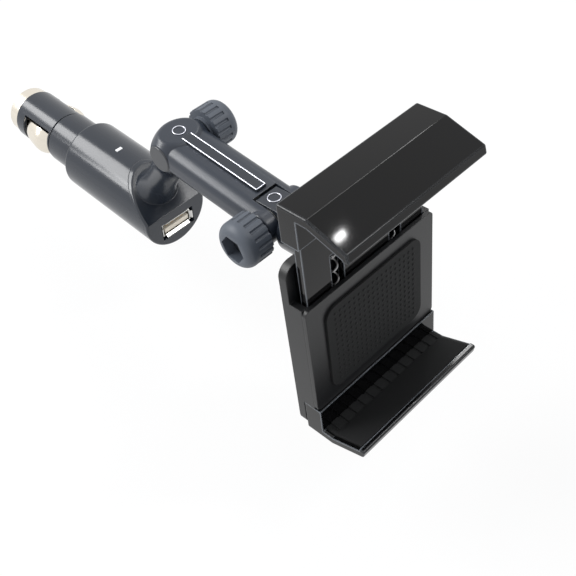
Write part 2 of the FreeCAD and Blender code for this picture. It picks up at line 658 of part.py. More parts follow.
def arm_body():
    """Arm with a hub at each end: a slot from below for the neck's lug, and a fork for the holder."""
    bar = arm_section().extrude(V(0, -ARM_LENGTH, 0))
    bar = round_edges(bar, ARM_EDGE, lambda edge: edge.BoundBox.YLength > ARM_LENGTH / 2)
    far_hub = bar_x(ARM_R, -ARM_HALF, ARM_HALF, -ARM_LENGTH)
    far_hub = round_edges(far_hub, ARM_HUB_EDGE, lambda edge: edge.BoundBox.XLength < 0.01)
    near_hub = neck_hub(0.0)
    near_hub = near_hub.cut(block(-ARM_WIDTH, ARM_WIDTH, -ARM_WIDTH, ARM_WIDTH, NECK_HUB_TOP, ARM_WIDTH))
    near_hub = round_edges(near_hub, NECK_HUB_TOP_ROUND,
                           lambda edge: edge.BoundBox.ZMin > NECK_HUB_TOP - 0.01)
    arm = bar.multiFuse([near_hub, far_hub])
    lug_half = LUG_WIDTH / 2 + RUNNING_FIT
    arm = arm.cut(block(-lug_half, lug_half, -NECK_SLOT_ROOT, ARM_WIDTH, -ARM_WIDTH, LUG_R + SEAT_GAP))
    fork_half = KNUCKLE_WIDTH / 2 + RUNNING_FIT + WASHER_THICK
    fork_end = -ARM_LENGTH - ARM_HEIGHT
    arm = arm.cut(block(-fork_half, fork_half, fork_end, -ARM_LENGTH, -ARM_HEIGHT, ARM_HEIGHT))
    arm = arm.cut(bar_x(FORK_ROOT_R, -fork_half, fork_half, -ARM_LENGTH))
    for y, side in ((0.0, -1), (-ARM_LENGTH, 1)):
        arm = arm.cut(bar_x(BOLT_R + RUNNING_FIT, -ARM_WIDTH, ARM_WIDTH, y))
        seat = side * (ARM_HALF - BOLT_HEAD_INSET)
        arm = arm.cut(bar_x(BOLT_HEAD_R + RUNNING_FIT, seat, side * ARM_WIDTH, y))
    half = STRIP_WIDTH / 2 + RUNNING_FIT
    arm = arm.cut(block(-half, half, -STRIP_TO - RUNNING_FIT, -STRIP_FROM + RUNNING_FIT,
                        ARM_R - STRIP_INSET, ARM_HEIGHT))
    return on_arm(arm.fuse(mark_ring(NECK_HUB_TOP, 0.0)))


def mark_ring(height, y):
    """Return a raised ring that marks the top of a hinge."""
    low = height - MARK_RING_PROUD
    high = height + MARK_RING_PROUD
    ring = bar_z(MARK_RING_R, low, high, 0, y)
    return ring.cut(bar_z(MARK_RING_R - MARK_RING_LINE, low - 1, high + 1, 0, y))


def arm_strip():
    """Gloss strip let into the top of the arm."""
    half = STRIP_WIDTH / 2
    strip = block(-half, half, -STRIP_TO, -STRIP_FROM, ARM_R - STRIP_INSET, ARM_R + STRIP_PROUD)
    top = ARM_R + STRIP_PROUD
    strip = round_edges(strip, STRIP_EDGE, lambda edge: edge.BoundBox.ZMin > top - 0.01)
    return on_arm(strip)


def hinge_bolt(y, head_side):
    """Round-headed bolt through a hinge, with its head let into one side of the arm."""
    seat = head_side * (ARM_HALF - BOLT_HEAD_INSET)
    head = bar_x(BOLT_HEAD_R, seat, seat + head_side * BOLT_HEAD, y)
    rim_x = seat + head_side * BOLT_HEAD
    head = round_edges(head, BOLT_HEAD_ROUND,
                       lambda edge: edge.BoundBox.XLength < 0.01 and abs(edge.BoundBox.XMin - rim_x) < 0.01)
    end = -head_side * (ARM_HALF + RUNNING_FIT + KNOB_BOSS + KNOB_FLOOR + NUT_THICK)
    shank = bar_x(BOLT_R, seat, end, y)
    return on_arm(head.fuse(shank).removeSplitter())


def knob(y, side):
    """Ribbed clamping knob with a domed end and a deep hexagonal pocket for its nut."""
    inner = ARM_HALF + RUNNING_FIT
    waist = inner + KNOB_BOSS
    end = waist + KNOB_LENGTH
    body = bar_x(KNOB_R, waist, end)
    body = round_edges(body, KNOB_DOME,
                       lambda edge: edge.BoundBox.XLength < 0.01 and abs(edge.BoundBox.XMin - end) < 0.01)
    body = body.fuse(bar_x(KNOB_BOSS_R, inner, waist))
    for k in range(KNOB_RIBS):
        angle = 2 * math.pi * k / KNOB_RIBS
        groove_at = KNOB_R + KNOB_GROOVE_OUT
        place = V(waist - 1, groove_at * math.cos(angle), groove_at * math.sin(angle))
        body = body.cut(cylinder(KNOB_GROOVE_R, place, place + X_AXIS * (KNOB_GROOVE_LENGTH + 1)))
    body = body.cut(hexagon_x(NUT_ACROSS_FLATS + 2 * NUT_POCKET_GAP, waist + KNOB_FLOOR, end + 1))
    body = body.cut(bar_x(BOLT_R + RUNNING_FIT, 0, end))
    return on_arm(to_side(body, y, side))


def to_side(shape, y, side):
    """Move a shape made on the +X side of the neck hinge to a hinge and a side of the arm."""
    moved = shape.copy()
    if side < 0:
        moved.rotate(V(0, 0, 0), Z_AXIS, 180)
    moved.translate(V(0, y, 0))
    return moved


def knob_nut(y, side):
    """Hexagonal nut at the bottom of a knob's pocket."""
    seat = ARM_HALF + RUNNING_FIT + KNOB_BOSS + KNOB_FLOOR
    nut = hexagon_x(NUT_ACROSS_FLATS, seat, seat + NUT_THICK)
    nut = nut.cut(bar_x(BOLT_R + RUNNING_FIT, 0, 2 * seat))
    return on_arm(to_side(nut, y, side))


def fork_washers():
    """Two friction washers between the fork's cheeks and the holder's knuckle."""
    inner = KNUCKLE_WIDTH / 2 + RUNNING_FIT
    rings = []
    for side in (-1, 1):
        ring = bar_x(WASHER_R, side * inner, side * (inner + WASHER_THICK), -ARM_LENGTH)
        rings.append(ring.cut(bar_x(BOLT_R + RUNNING_FIT, -ARM_HALF, ARM_HALF, -ARM_LENGTH)))
    return on_arm(Part.makeCompound(rings))


def swivel_floor():
    """Return the clamp-frame Y of the floor inside the swivel hub."""
    return HOUSING_BACK + HUB_FLOOR


def swivel_stem():
    """Knuckle of the holder's hinge with a round stem and a flange that turns inside the hub."""
    flange_start = swivel_floor() + SWIVEL_WASHER_THICK + RUNNING_FIT
    flange_end = flange_start + STEM_FLANGE
    stem_start = collar_end() + SEAT_GAP
    stem_end = HINGE_BACK - ARM_R - STEM_END_GAP
    stem = bar_y(STEM_R, stem_start, stem_end, 0, HINGE_UP)
    stem = round_edges(stem, STEM_EDGE, lambda edge: edge.BoundBox.YLength < 0.01)
    neck_bar = bar_y(STEM_NECK_R, flange_start, stem_end - STEM_EDGE, 0, HINGE_UP)
    flange = bar_y(STEM_FLANGE_R, flange_start, flange_end, 0, HINGE_UP)
    half = KNUCKLE_WIDTH / 2
    low = HINGE_UP - KNUCKLE_TOP
    high = HINGE_UP + KNUCKLE_TOP
    web = block(-half, half, stem_end - 2 * STEM_EDGE, HINGE_BACK, low, high)
    knuckle = bar_x(KNUCKLE_R, -half, half, HINGE_BACK, HINGE_UP)
    knuckle = knuckle.common(block(-half, half, 0, 2 * HINGE_BACK, low, high))
    knuckle = round_edges(knuckle, KNUCKLE_EDGE, lambda edge: edge.BoundBox.XLength > half
                          and (edge.BoundBox.ZMin > high - 0.01 or edge.BoundBox.ZMax < low + 0.01))
    solid = stem.multiFuse([neck_bar, flange, web, knuckle])
    solid = solid.cut(bar_x(BOLT_R + RUNNING_FIT, -ARM_WIDTH, ARM_WIDTH, HINGE_BACK, HINGE_UP))
    ring = mark_ring(high, HINGE_BACK + MARK_RING_SHIFT)
    return on_clamp(solid.fuse(ring).removeSplitter())


def collar_end():
    """Return the clamp-frame Y of the collar's outer face."""
    return hub_end() + RUNNING_FIT + COLLAR_LIP


def hub_end():
    """Return the clamp-frame Y of the hub's rim."""
    return swivel_floor() + SWIVEL_WASHER_THICK + STEM_FLANGE + 3 * RUNNING_FIT


def swivel_collar():
    """Fluted ring nut on the hub, whose lip keeps the stem's flange in place."""
    start = HOUSING_BACK + SEAT_GAP
    ring = bar_y(COLLAR_R, start, collar_end(), 0, HINGE_UP)
    ring = round_edges(ring, STEM_EDGE, lambda edge: edge.BoundBox.YLength < 0.01)
    for k in range(COLLAR_FLUTES):
        angle = 2 * math.pi * k / COLLAR_FLUTES
        x = COLLAR_R * math.cos(angle)
        z = HINGE_UP + COLLAR_R * math.sin(angle)
        ring = ring.cut(bar_y(COLLAR_FLUTE_R, start - 1, collar_end() - COLLAR_LIP, x, z))
    ring = ring.cut(bar_y(HUB_R + RUNNING_FIT, start - 1, collar_end() - COLLAR_LIP, 0, HINGE_UP))
    ring = ring.cut(bar_y(STEM_NECK_R + SEAT_GAP, start, collar_end() + 1, 0, HINGE_UP))
    return on_clamp(ring)


def swivel_washer():
    """Friction washer between the hub's floor and the stem's flange."""
    floor = swivel_floor()
    washer = bar_y(STEM_FLANGE_R, floor, floor + SWIVEL_WASHER_THICK, 0, HINGE_UP)
    return on_clamp(washer.cut(bar_y(STEM_NECK_R, floor - 1, floor + 2, 0, HINGE_UP)))


def jaw_outline(wall_back):
    """Return the side outline of the upper jaw, as (y, z) points in the clamp frame."""
    slope = (JAW_TOP - JAW_FRONT_Z) / (JAW_FOLD_Y - JAW_FRONT_Y)
    inner_lip = JAW_LIP_Y + JAW_LIP_THICK
    under = JAW_TOP - JAW_ROOF
    lip_inner_z = under - (JAW_FOLD_Y - inner_lip) * slope
    return [(wall_back, JAW_WALL_BOTTOM), (wall_back, JAW_TOP), (JAW_FOLD_Y, JAW_TOP),
            (JAW_FRONT_Y, JAW_FRONT_Z), (JAW_LIP_Y, JAW_LIP_Z), (inner_lip, JAW_LIP_Z),
            (inner_lip, lip_inner_z), (JAW_FOLD_Y, under), (GRIP_BACK, under), (GRIP_BACK, JAW_WALL_BOTTOM)]


def plain_jaw(wall_back):
    """Return a jaw's moulding with its long outer edges rounded."""
    jaw = prism_x(jaw_outline(wall_back), JAW_HALF_WIDTH)

    def along_x(edge, y, z):
        box = edge.BoundBox
        return box.XLength > JAW_HALF_WIDTH and abs(box.YMin - y) < 0.01 and abs(box.ZMin - z) < 0.01

    jaw = round_edges(jaw, JAW_FOLD_ROUND, lambda edge: along_x(edge, JAW_FOLD_Y, JAW_TOP))
    jaw = round_edges(jaw, JAW_EDGE_ROUND, lambda edge: along_x(edge, JAW_FRONT_Y, JAW_FRONT_Z)
                      or along_x(edge, JAW_LIP_Y, JAW_LIP_Z) or along_x(edge, wall_back, JAW_TOP))
    return round_edges(jaw, JAW_SIDE_ROUND, jaw_side_edge)


def jaw_side_edge(edge):
    """Tell whether an edge of a jaw lies on the outer outline of one of its two ends."""
    middle = edge.valueAt((edge.FirstParameter + edge.LastParameter) / 2)
    slope = (JAW_TOP - JAW_FRONT_Z) / (JAW_FOLD_Y - JAW_FRONT_Y)
    top_here = JAW_TOP - max(0.0, JAW_FOLD_Y - middle.y) * slope
    on_end = edge.BoundBox.XLength < 0.01 and abs(abs(middle.x) - JAW_HALF_WIDTH) < 0.01
    return on_end and middle.z > top_here - JAW_ROOF / 2 and middle.y > JAW_FRONT_Y


def pad_outline():
    """Return the side outline of a jaw's rubber liner, under the roof and down the wall."""
    slope = (JAW_TOP - JAW_FRONT_Z) / (JAW_FOLD_Y - JAW_FRONT_Y)
    under = JAW_TOP - JAW_ROOF
    front = JAW_LIP_Y + JAW_LIP_THICK + SEAT_GAP
    drop = (JAW_FOLD_Y - front) * slope
    return [(front, under - drop), (JAW_FOLD_Y, under), (GRIP_BACK, under), (GRIP_BACK, under - PAD_THICK),
            (JAW_FOLD_Y, under - PAD_THICK), (front, under - drop - PAD_THICK)]


def jaw_pad():
    """Return the rubber liner of the upper jaw with ribs across its gripping face."""
    half = JAW_HALF_WIDTH - PAD_SIDE_GAP
    pad = prism_x(pad_outline(), half)
    count = int(half / PAD_RIB_PITCH)
    groove_z = JAW_TOP - JAW_ROOF - PAD_THICK
    for k in range(-count, count + 1):
        x = k * PAD_RIB_PITCH
        groove = block(x - PAD_RIB_WIDTH / 2, x + PAD_RIB_WIDTH / 2, JAW_FOLD_Y - PAD_RIB_WIDTH,
                       GRIP_BACK, groove_z, groove_z + PAD_RIB_DEPTH)
        pad = pad.cut(groove)
    return pad


def mirrored(shape):
    """Return a clamp-frame shape mirrored from the upper to the lower jaw."""
    return shape.mirror(V(0, 0, 0), Z_AXIS)


def spring_peg(z, y0, y1):
    """Return the two pegs that hold one end of each clamp spring."""
    return [bar_y(CLAMP_PEG_R, y0, y1, side * CLAMP_SPRING_X, z) for side in (-1, 1)]


def upper_jaw():
    """Sliding upper jaw: a folded roof with a lip, a rear wall and a slotted tongue inside the housing."""
    jaw = plain_jaw(JAW_BACK)
    tongue_back = TONGUE_FRONT + TONGUE_THICK
    tongue = block(-TONGUE_HALF_WIDTH, TONGUE_HALF_WIDTH, TONGUE_FRONT, tongue_back,
                   TONGUE_BOTTOM, JAW_WALL_BOTTOM)
    half = CLAMP_SPRING_SLOT / 2
    for side in (-1, 1):
        x = side * CLAMP_SPRING_X
        slot = block(x - half, x + half, TONGUE_FRONT, tongue_back, TONGUE_BOTTOM, TONGUE_SLOT_TOP)
        tongue = tongue.cut(slot)
    return on_clamp(jaw.fuse(tongue).removeSplitter())


def upper_pad():
    """Rubber liner of the sliding jaw."""
    return on_clamp(jaw_pad())


def screw_holes(zs, y0, y1, radius):
    """Return the bars that cut or fill a row of screw holes on both sides."""
    return [bar_y(radius, y0, y1, side * SCREW_X, z) for side in (-1, 1) for z in zs]


def lower_jaw():
    """Fixed lower jaw, screwed to the foot of the back housing."""
    jaw = mirrored(plain_jaw(HOUSING_FRONT))
    for hole in screw_holes(SCREW_ZS, HOUSING_BACK - SCREW_LENGTH, HOUSING_BACK, SCREW_R):
        jaw = jaw.cut(hole)
    return on_clamp(jaw)


def lower_pad():
    """Rubber liner of the fixed jaw."""
    return on_clamp(mirrored(jaw_pad()))


def housing_floor():
    """Return the clamp-frame Z of the housing's front plate and rails at their lower end."""
    return -JAW_WALL_BOTTOM + RUNNING_FIT


def back_housing():
    """Back plate with side rails that guide the tongue, spring pegs and the swivel hub."""
    rail_x = TONGUE_HALF_WIDTH + SLIDE_GAP
    plate = block(-JAW_HALF_WIDTH, JAW_HALF_WIDTH, HOUSING_FRONT, HOUSING_BACK, -JAW_TOP, BACK_PLATE_TOP)
    plate = round_edges(plate, BACK_PLATE_CORNER, lambda edge: edge.BoundBox.XLength < 0.01
                        and edge.BoundBox.ZLength < 0.01)
    pieces = []
    rail_front = FRONT_PLATE_FRONT + FRONT_PLATE_THICK
    tongue_back = TONGUE_FRONT + TONGUE_THICK
    for side in (-1, 1):
        xs = sorted((side * rail_x, side * JAW_HALF_WIDTH))
        pieces.append(block(xs[0], xs[1], rail_front, HOUSING_FRONT, housing_floor(), FRONT_PLATE_TOP))
        xs = sorted((side * BACK_RIB_X, side * (BACK_RIB_X - BACK_RIB_WIDTH)))
        pieces.append(block(xs[0], xs[1], tongue_back + SEAT_GAP, HOUSING_FRONT, housing_floor(),
                            FRONT_PLATE_TOP))
    pieces += spring_peg(CLAMP_PEG_Z, rail_front + SEAT_GAP, HOUSING_FRONT)
    pieces.append(bar_y(HUB_R, HOUSING_FRONT + 1, hub_end(), 0, HINGE_UP))
    housing = plate.multiFuse(pieces)
    housing = housing.cut(bar_y(STEM_FLANGE_R + SEAT_GAP, swivel_floor(), hub_end() + 1, 0, HINGE_UP))
    for hole in screw_holes(SCREW_ZS, HOUSING_BACK - SCREW_LENGTH, HOUSING_BACK + 1, SCREW_R):
        housing = housing.cut(hole)
    seat_r = SCREW_HEAD_R + RUNNING_FIT
    for seat in screw_holes(SCREW_ZS, HOUSING_BACK - SCREW_HEAD, HOUSING_BACK + 1, seat_r):
        housing = housing.cut(seat)
    return on_clamp(housing.removeSplitter())


def front_plate():
    """Cover over the tongue's channel, behind the held phone."""
    low = housing_floor()
    plate = block(-JAW_HALF_WIDTH, JAW_HALF_WIDTH, FRONT_PLATE_FRONT, FRONT_PLATE_FRONT + FRONT_PLATE_THICK,
                  low, FRONT_PLATE_TOP)
    plate = round_edges(plate, JAW_CORNER_ROUND, lambda edge: edge.BoundBox.XLength < 0.01
                        and edge.BoundBox.ZLength < 0.01)
    return on_clamp(plate)


def back_pad():
    """Soft pad on the front plate for the phone's back."""
    pad = block(-BACK_PAD_HALF_WIDTH, BACK_PAD_HALF_WIDTH, GRIP_BACK, FRONT_PLATE_FRONT,
                BACK_PAD_BOTTOM, BACK_PAD_TOP)
    pad = round_edges(pad, BACK_PLATE_CORNER, lambda edge: edge.BoundBox.XLength < 0.01
                      and edge.BoundBox.ZLength < 0.01)
    return on_clamp(pad)


def clamp_springs():
    """Two tension springs from the housing's pegs up to the top of the tongue's slots."""
    start_z = CLAMP_PEG_Z + CLAMP_PEG_R + SPRING_WIRE_R
    end_z = TONGUE_SLOT_TOP - SPRING_WIRE_R
    middle_y = (FRONT_PLATE_FRONT + FRONT_PLATE_THICK + HOUSING_FRONT) / 2
    radius = CLAMP_SPRING_R - SPRING_WIRE_R
    springs = [coil(radius, SPRING_WIRE_R, CLAMP_SPRING_TURNS, end_z - start_z,
                    V(side * CLAMP_SPRING_X, middle_y, start_z), Z_AXIS) for side in (-1, 1)]
    return on_clamp(Part.makeCompound(springs))


def housing_screws():
    """Four countersunk-flush screws that hold the lower jaw to the housing."""
    screws = []
    for side in (-1, 1):
        for z in SCREW_ZS:
            shank = bar_y(SCREW_R - RUNNING_FIT, HOUSING_BACK - SCREW_LENGTH + SEAT_GAP, HOUSING_BACK,
                          side * SCREW_X, z)
            head = bar_y(SCREW_HEAD_R, HOUSING_BACK - SCREW_HEAD, HOUSING_BACK, side * SCREW_X, z)
            screws.append(shank.fuse(head).removeSplitter())
    return on_clamp(Part.makeCompound(screws))


NODES = {
    "plug_barrel": plug_barrel,
    "side_contact_left": lambda: side_contact(-1),
    "side_contact_right": lambda: side_contact(1),
    "nose_cap": nose_cap,
    "centre_contact": centre_contact,
    "fuse": fuse,
    "contact_spring": contact_spring,
    "body_shell": body_shell,
    "front_cap": front_cap,
    "led_lens": led_lens,
    "usb_shell": usb_shell,
    "usb_tongue": usb_tongue,
    "usb_contacts": usb_contacts,
    "circuit_board": circuit_board,
    "inductor": inductor,
    "capacitors": capacitors,
    "arm_body": arm_body,
    "arm_strip": arm_strip,
    "arm_hinge_bolt": lambda: hinge_bolt(0.0, -1),
    "holder_hinge_bolt": lambda: hinge_bolt(-ARM_LENGTH, 1),
    "arm_knob": lambda: knob(0.0, 1),
    "holder_knob": lambda: knob(-ARM_LENGTH, -1),
    "arm_knob_nut": lambda: knob_nut(0.0, 1),
    "holder_knob_nut": lambda: knob_nut(-ARM_LENGTH, -1),
    "fork_washers": fork_washers,
    "swivel_stem": swivel_stem,
    "swivel_collar": swivel_collar,
    "swivel_washer": swivel_washer,
    "back_housing": back_housing,
    "front_plate": front_plate,
    "back_pad": back_pad,
    "lower_jaw": lower_jaw,
    "lower_pad": lower_pad,
    "upper_jaw": upper_jaw,
    "upper_pad": upper_pad,
    "clamp_springs": clamp_springs,
    "housing_screws": housing_screws,
}

os.makedirs("parts", exist_ok=True)
for name, make in NODES.items():
    shape = make()
    shape.exportStep(os.path.join("parts", name + ".step"))
    print(name, len(shape.Solids), shape.isValid(), round(shape.Volume, 1))
print("arm pivot", ARM_PIVOT, "holder pivot", HOLDER_PIVOT)
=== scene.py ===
"""Looks of the lighter-socket phone mount: finishes, small added pieces, studio and camera.

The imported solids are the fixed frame. This script gives each of them a finish, adds the small repeated pieces
that are too fine for the solids, and sets a pale studio with the camera at the photograph's viewing angle.
Lengths in the dataclasses are in millimetres, because that is how the mount is dimensioned, unless their
line says metres.
"""

import json
import logging
import math
from abc import ABC, abstractmethod
from dataclasses import dataclass, field
from enum import Enum
from typing import Any

import bpy
from mathutils import Matrix, Vector

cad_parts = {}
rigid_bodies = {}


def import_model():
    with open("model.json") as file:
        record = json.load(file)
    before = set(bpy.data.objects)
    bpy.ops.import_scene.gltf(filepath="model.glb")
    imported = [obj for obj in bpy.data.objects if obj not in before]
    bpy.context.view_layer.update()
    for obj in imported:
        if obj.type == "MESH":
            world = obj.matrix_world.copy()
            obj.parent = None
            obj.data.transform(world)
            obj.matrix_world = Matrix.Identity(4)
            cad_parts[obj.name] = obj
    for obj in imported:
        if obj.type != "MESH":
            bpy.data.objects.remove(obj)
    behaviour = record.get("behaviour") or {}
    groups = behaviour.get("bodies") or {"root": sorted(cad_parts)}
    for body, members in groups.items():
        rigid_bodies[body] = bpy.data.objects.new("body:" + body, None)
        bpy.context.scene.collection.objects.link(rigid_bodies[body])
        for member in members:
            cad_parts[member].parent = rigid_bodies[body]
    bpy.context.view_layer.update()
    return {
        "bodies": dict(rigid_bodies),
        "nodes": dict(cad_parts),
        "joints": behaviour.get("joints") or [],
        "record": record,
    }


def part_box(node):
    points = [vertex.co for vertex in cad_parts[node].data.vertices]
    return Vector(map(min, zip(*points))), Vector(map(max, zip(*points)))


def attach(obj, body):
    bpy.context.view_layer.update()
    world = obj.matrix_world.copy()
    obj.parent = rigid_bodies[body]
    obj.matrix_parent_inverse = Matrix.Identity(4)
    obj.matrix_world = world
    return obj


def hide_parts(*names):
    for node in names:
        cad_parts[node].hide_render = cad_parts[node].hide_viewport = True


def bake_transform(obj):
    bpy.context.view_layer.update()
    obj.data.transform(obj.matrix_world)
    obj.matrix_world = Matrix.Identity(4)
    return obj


LOG = logging.getLogger("phone_mount")
MM = 0.001
# Rays that feel for an edge nearby, per shading point.
EDGE_SAMPLES = 6
# Patches over which a moulding's colour drifts, and patches of handling.
COLOUR_PATCH_MM = 25.0
FINGERTIP_MM = 14.0
# Width and grey of the painted edge highlight, and how unlike the normals are where the painted highlight
# starts and is full.
EDGE_HIGHLIGHT_MM = 0.7
EDGE_HIGHLIGHT_GREY = "#aeb4bc"
EDGE_HIGHLIGHT_STARTS = 0.995
EDGE_HIGHLIGHT_FULL = 0.94
# Frequency along the plug's axis of marks that were drawn along it, as a share of that across.
DRAWN_SHARE = 0.08
# Roundness of the added beads, wires and rings.
BEAD_SIDES = 10
WIRE_SIDES = 8
RING_POINTS = 48
COIL_POINTS = 20


class Body(str, Enum):
    """Rigid bodies of the mount that added pieces ride on."""

    PLUG = "plug"
    CENTRE_PIN = "centre_pin"
    ARM = "arm"
    STEM = "stem"
    HOLDER = "holder"
    JAW = "jaw"


class Grain(Enum):
    """How the fine surface pattern of a finish was made."""

    SMOOTH = "smooth"
    MOULDED = "moulded"
    ETCHED = "etched"
    DRAWN = "drawn"


def linear(hex_colour: str) -> tuple[float, float, float, float]:
    """Turn an sRGB hex colour into linear RGBA.

    Args:
        hex_colour: Six hex digits after a hash sign.

    Returns:
        The linear colour with full alpha.
    """
    digits = hex_colour.lstrip("#")
    channels = [int(digits[k:k + 2], 16) / 255.0 for k in (0, 2, 4)]
    straight = [c / 12.92 if c <= 0.04045 else ((c + 0.055) / 1.055) ** 2.4 for c in channels]
    return (straight[0], straight[1], straight[2], 1.0)


def add_node(tree: bpy.types.NodeTree, kind: str, settings: dict[str, Any] | None = None,
             values: dict[Any, Any] | None = None, links: dict[Any, Any] | None = None) -> bpy.types.Node:
    """Add a node to a tree with its settings, socket values and incoming links.

    Args:
        tree: The shader or geometry tree.
        kind: The node's type name.
        settings: Attributes of the node itself.
        values: Default values of its inputs, by name or number.
        links: Output sockets that feed its inputs, by name or number.

    Returns:
        The new node.
    """
    node = tree.nodes.new(kind)
    for name, value in (settings or {}).items():
        setattr(node, name, value)
    for name, value in (values or {}).items():
        node.inputs[name].default_value = value
    for name, source in (links or {}).items():
        tree.links.new(source, node.inputs[name])
    return node


@dataclass(frozen=True)
class Finish:
    """A real material and how its surface was made.

    Attributes:
        name: Common name of the material and its making.
        colour: Base colour as an sRGB hex value.
        roughness: Mean roughness of the surface.
        metallic: 1 for bare metal, 0 for plastics and rubber.
        ior: Index of refraction, left at the default on metals.
        specular: Reflection level, 0.5 for plain dielectrics.
        grain: How the fine pattern was made.
        grain_mm: Size of that pattern.
        grain_depth_mm: Depth of that pattern.
        smudge: How much handling varies the roughness.
        edge_mm: Radius of the softened edges that catch the light.
        transmission: Share of light that passes through.
        drift: How much the base colour drifts from patch to patch.
        edge_highlight: How far edges are painted towards a pale grey, a painted highlight of the light that
            edges catch.
    """

    name: str
    colour: str
    roughness: float
    metallic: float = 0.0
    ior: float = 1.5
    specular: float = 0.5
    grain: Grain = Grain.SMOOTH
    grain_mm: float = 1.0
    grain_depth_mm: float = 0.0
    smudge: float = 0.0
    edge_mm: float = 0.0
    transmission: float = 0.0
    drift: float = 0.06
    edge_highlight: float = 0.0

    def material(self) -> bpy.types.Material:
        """Return the finish as a node material, which is made once.

        Returns:
            The material.
        """
        known = bpy.data.materials.get(self.name)
        return known if known else self._build()

    def _build(self) -> bpy.types.Material:
        """Build the node tree of the finish.

        Returns:
            The new material.
        """
        made = bpy.data.materials.new(self.name)
        made.use_nodes = True
        tree = made.node_tree
        tree.nodes.clear()
        place = add_node(tree, "ShaderNodeTexCoord").outputs["Object"]
        surface = add_node(tree, "ShaderNodeBsdfPrincipled", values={
            "Metallic": self.metallic, "IOR": self.ior, "Specular IOR Level": self.specular,
            "Roughness": self.roughness, "Transmission Weight": self.transmission},
            links={"Base Color": self._colour(tree, place)})
        if self.smudge:
            self._add_smudge(tree, place, surface)
        normal = self._normal(tree, place)
        if normal is not None:
            tree.links.new(normal, surface.inputs["Normal"])
        add_node(tree, "ShaderNodeOutputMaterial", links={"Surface": surface.outputs["BSDF"]})
        return made

    def _colour(self, tree: bpy.types.NodeTree, place: bpy.types.NodeSocket) -> bpy.types.NodeSocket:
        """Return the base colour with its slow drift and its painted edge highlight.

        Args:
            tree: The material's tree.
            place: Object coordinates.

        Returns:
            The colour socket.
        """
        patches = add_node(tree, "ShaderNodeTexNoise", values={
            "Scale": 1.0 / (COLOUR_PATCH_MM * MM), "Detail": 2.0}, links={"Vector": place})
        level = add_node(tree, "ShaderNodeMapRange", values={
            "From Min": 0.3, "From Max": 0.7, "To Min": 1.0 - self.drift, "To Max": 1.0 + self.drift},
            links={"Value": patches.outputs["Fac"]})
        drifted = add_node(tree, "ShaderNodeVectorMath", {"operation": "SCALE"}, {0: linear(self.colour)[:3]},
                           {"Scale": level.outputs["Result"]}).outputs["Vector"]
        return self._paint_edge_highlight(tree, drifted) if self.edge_highlight else drifted

    def _paint_edge_highlight(self, tree: bpy.types.NodeTree, colour: bpy.types.NodeSocket) -> bpy.types.NodeSocket:
        """Return the colour with a pale painted highlight on the edges, which shows where the softened normal
        leaves the true one.

        Args:
            tree: The material's tree.
            colour: The colour away from the edges.

        Returns:
            The colour socket.
        """
        # Edges are painted pale grey here as a painted highlight of the light they catch.
        soft = add_node(tree, "ShaderNodeBevel", {"samples": EDGE_SAMPLES}, {"Radius": EDGE_HIGHLIGHT_MM * MM})
        true = add_node(tree, "ShaderNodeNewGeometry")
        likeness = add_node(tree, "ShaderNodeVectorMath", {"operation": "DOT_PRODUCT"}, links={
            0: soft.outputs["Normal"], 1: true.outputs["Normal"]})
        amount = add_node(tree, "ShaderNodeMapRange", values={
            "From Min": EDGE_HIGHLIGHT_STARTS, "From Max": EDGE_HIGHLIGHT_FULL, "To Min": 0.0, "To Max": self.edge_highlight},
            links={"Value": likeness.outputs["Value"]})
        # A mix of vectors has its factor at input 0, its two ends at 4 and 5 and its result at output 1.
        pale = add_node(tree, "ShaderNodeMix", {"data_type": "VECTOR"}, {5: linear(EDGE_HIGHLIGHT_GREY)[:3]}, {
            0: amount.outputs["Result"], 4: colour})
        return pale.outputs[1]

    def _add_smudge(self, tree: bpy.types.NodeTree, place: bpy.types.NodeSocket,
                    surface: bpy.types.Node) -> None:
        """Vary the roughness in patches the size of a fingertip.

        Args:
            tree: The material's tree.
            place: Object coordinates.
            surface: The surface shader whose roughness varies.
        """
        patches = add_node(tree, "ShaderNodeTexNoise", values={
            "Scale": 1.0 / (FINGERTIP_MM * MM), "Detail": 3.0, "Roughness": 0.6}, links={"Vector": place})
        spread = add_node(tree, "ShaderNodeMapRange", values={
            "From Min": 0.35, "From Max": 0.7, "To Min": max(0.02, self.roughness - self.smudge),
            "To Max": self.roughness + self.smudge}, links={"Value": patches.outputs["Fac"]})
        tree.links.new(spread.outputs["Result"], surface.inputs["Roughness"])

    def _normal(self, tree: bpy.types.NodeTree, place: bpy.types.NodeSocket) -> bpy.types.NodeSocket | None:
        """Return the bent normal of softened edges and fine grain.

        Args:
            tree: The material's tree.
            place: Object coordinates.

        Returns:
            The normal socket, or None for a plain surface.
        """
        normal = None
        if self.edge_mm:
            soft = add_node(tree, "ShaderNodeBevel", {"samples": EDGE_SAMPLES}, {"Radius": self.edge_mm * MM})
            normal = soft.outputs["Normal"]
        if self.grain is Grain.SMOOTH:
            return normal
        along = DRAWN_SHARE if self.grain is Grain.DRAWN else 1.0
        drawn = add_node(tree, "ShaderNodeMapping", values={"Scale": (1.0, along, 1.0)},
                         links={"Vector": place})
        detail = 1.0 if self.grain is Grain.MOULDED else 4.0
        height = add_node(tree, "ShaderNodeTexNoise", values={
            "Scale": 1.0 / (self.grain_mm * MM), "Detail": detail},
            links={"Vector": drawn.outputs["Vector"]})
        links = {"Height": height.outputs["Fac"]}
        if normal is not None:
            links["Normal"] = normal
        bump = add_node(tree, "ShaderNodeBump", values={
            "Strength": 1.0, "Distance": self.grain_depth_mm * MM}, links=links)
        return bump.outputs["Normal"]


# Injection-moulded gloss ABS of the plug, the arm's strip and the swivel stem: near black, with long soft
# streaks and a faint moulding ripple.
PLUG_ABS = Finish("Gloss ABS, moulded, plug black", "#292e36", 0.17, grain=Grain.MOULDED, grain_mm=6.0,
                  grain_depth_mm=0.006, edge_mm=0.35)
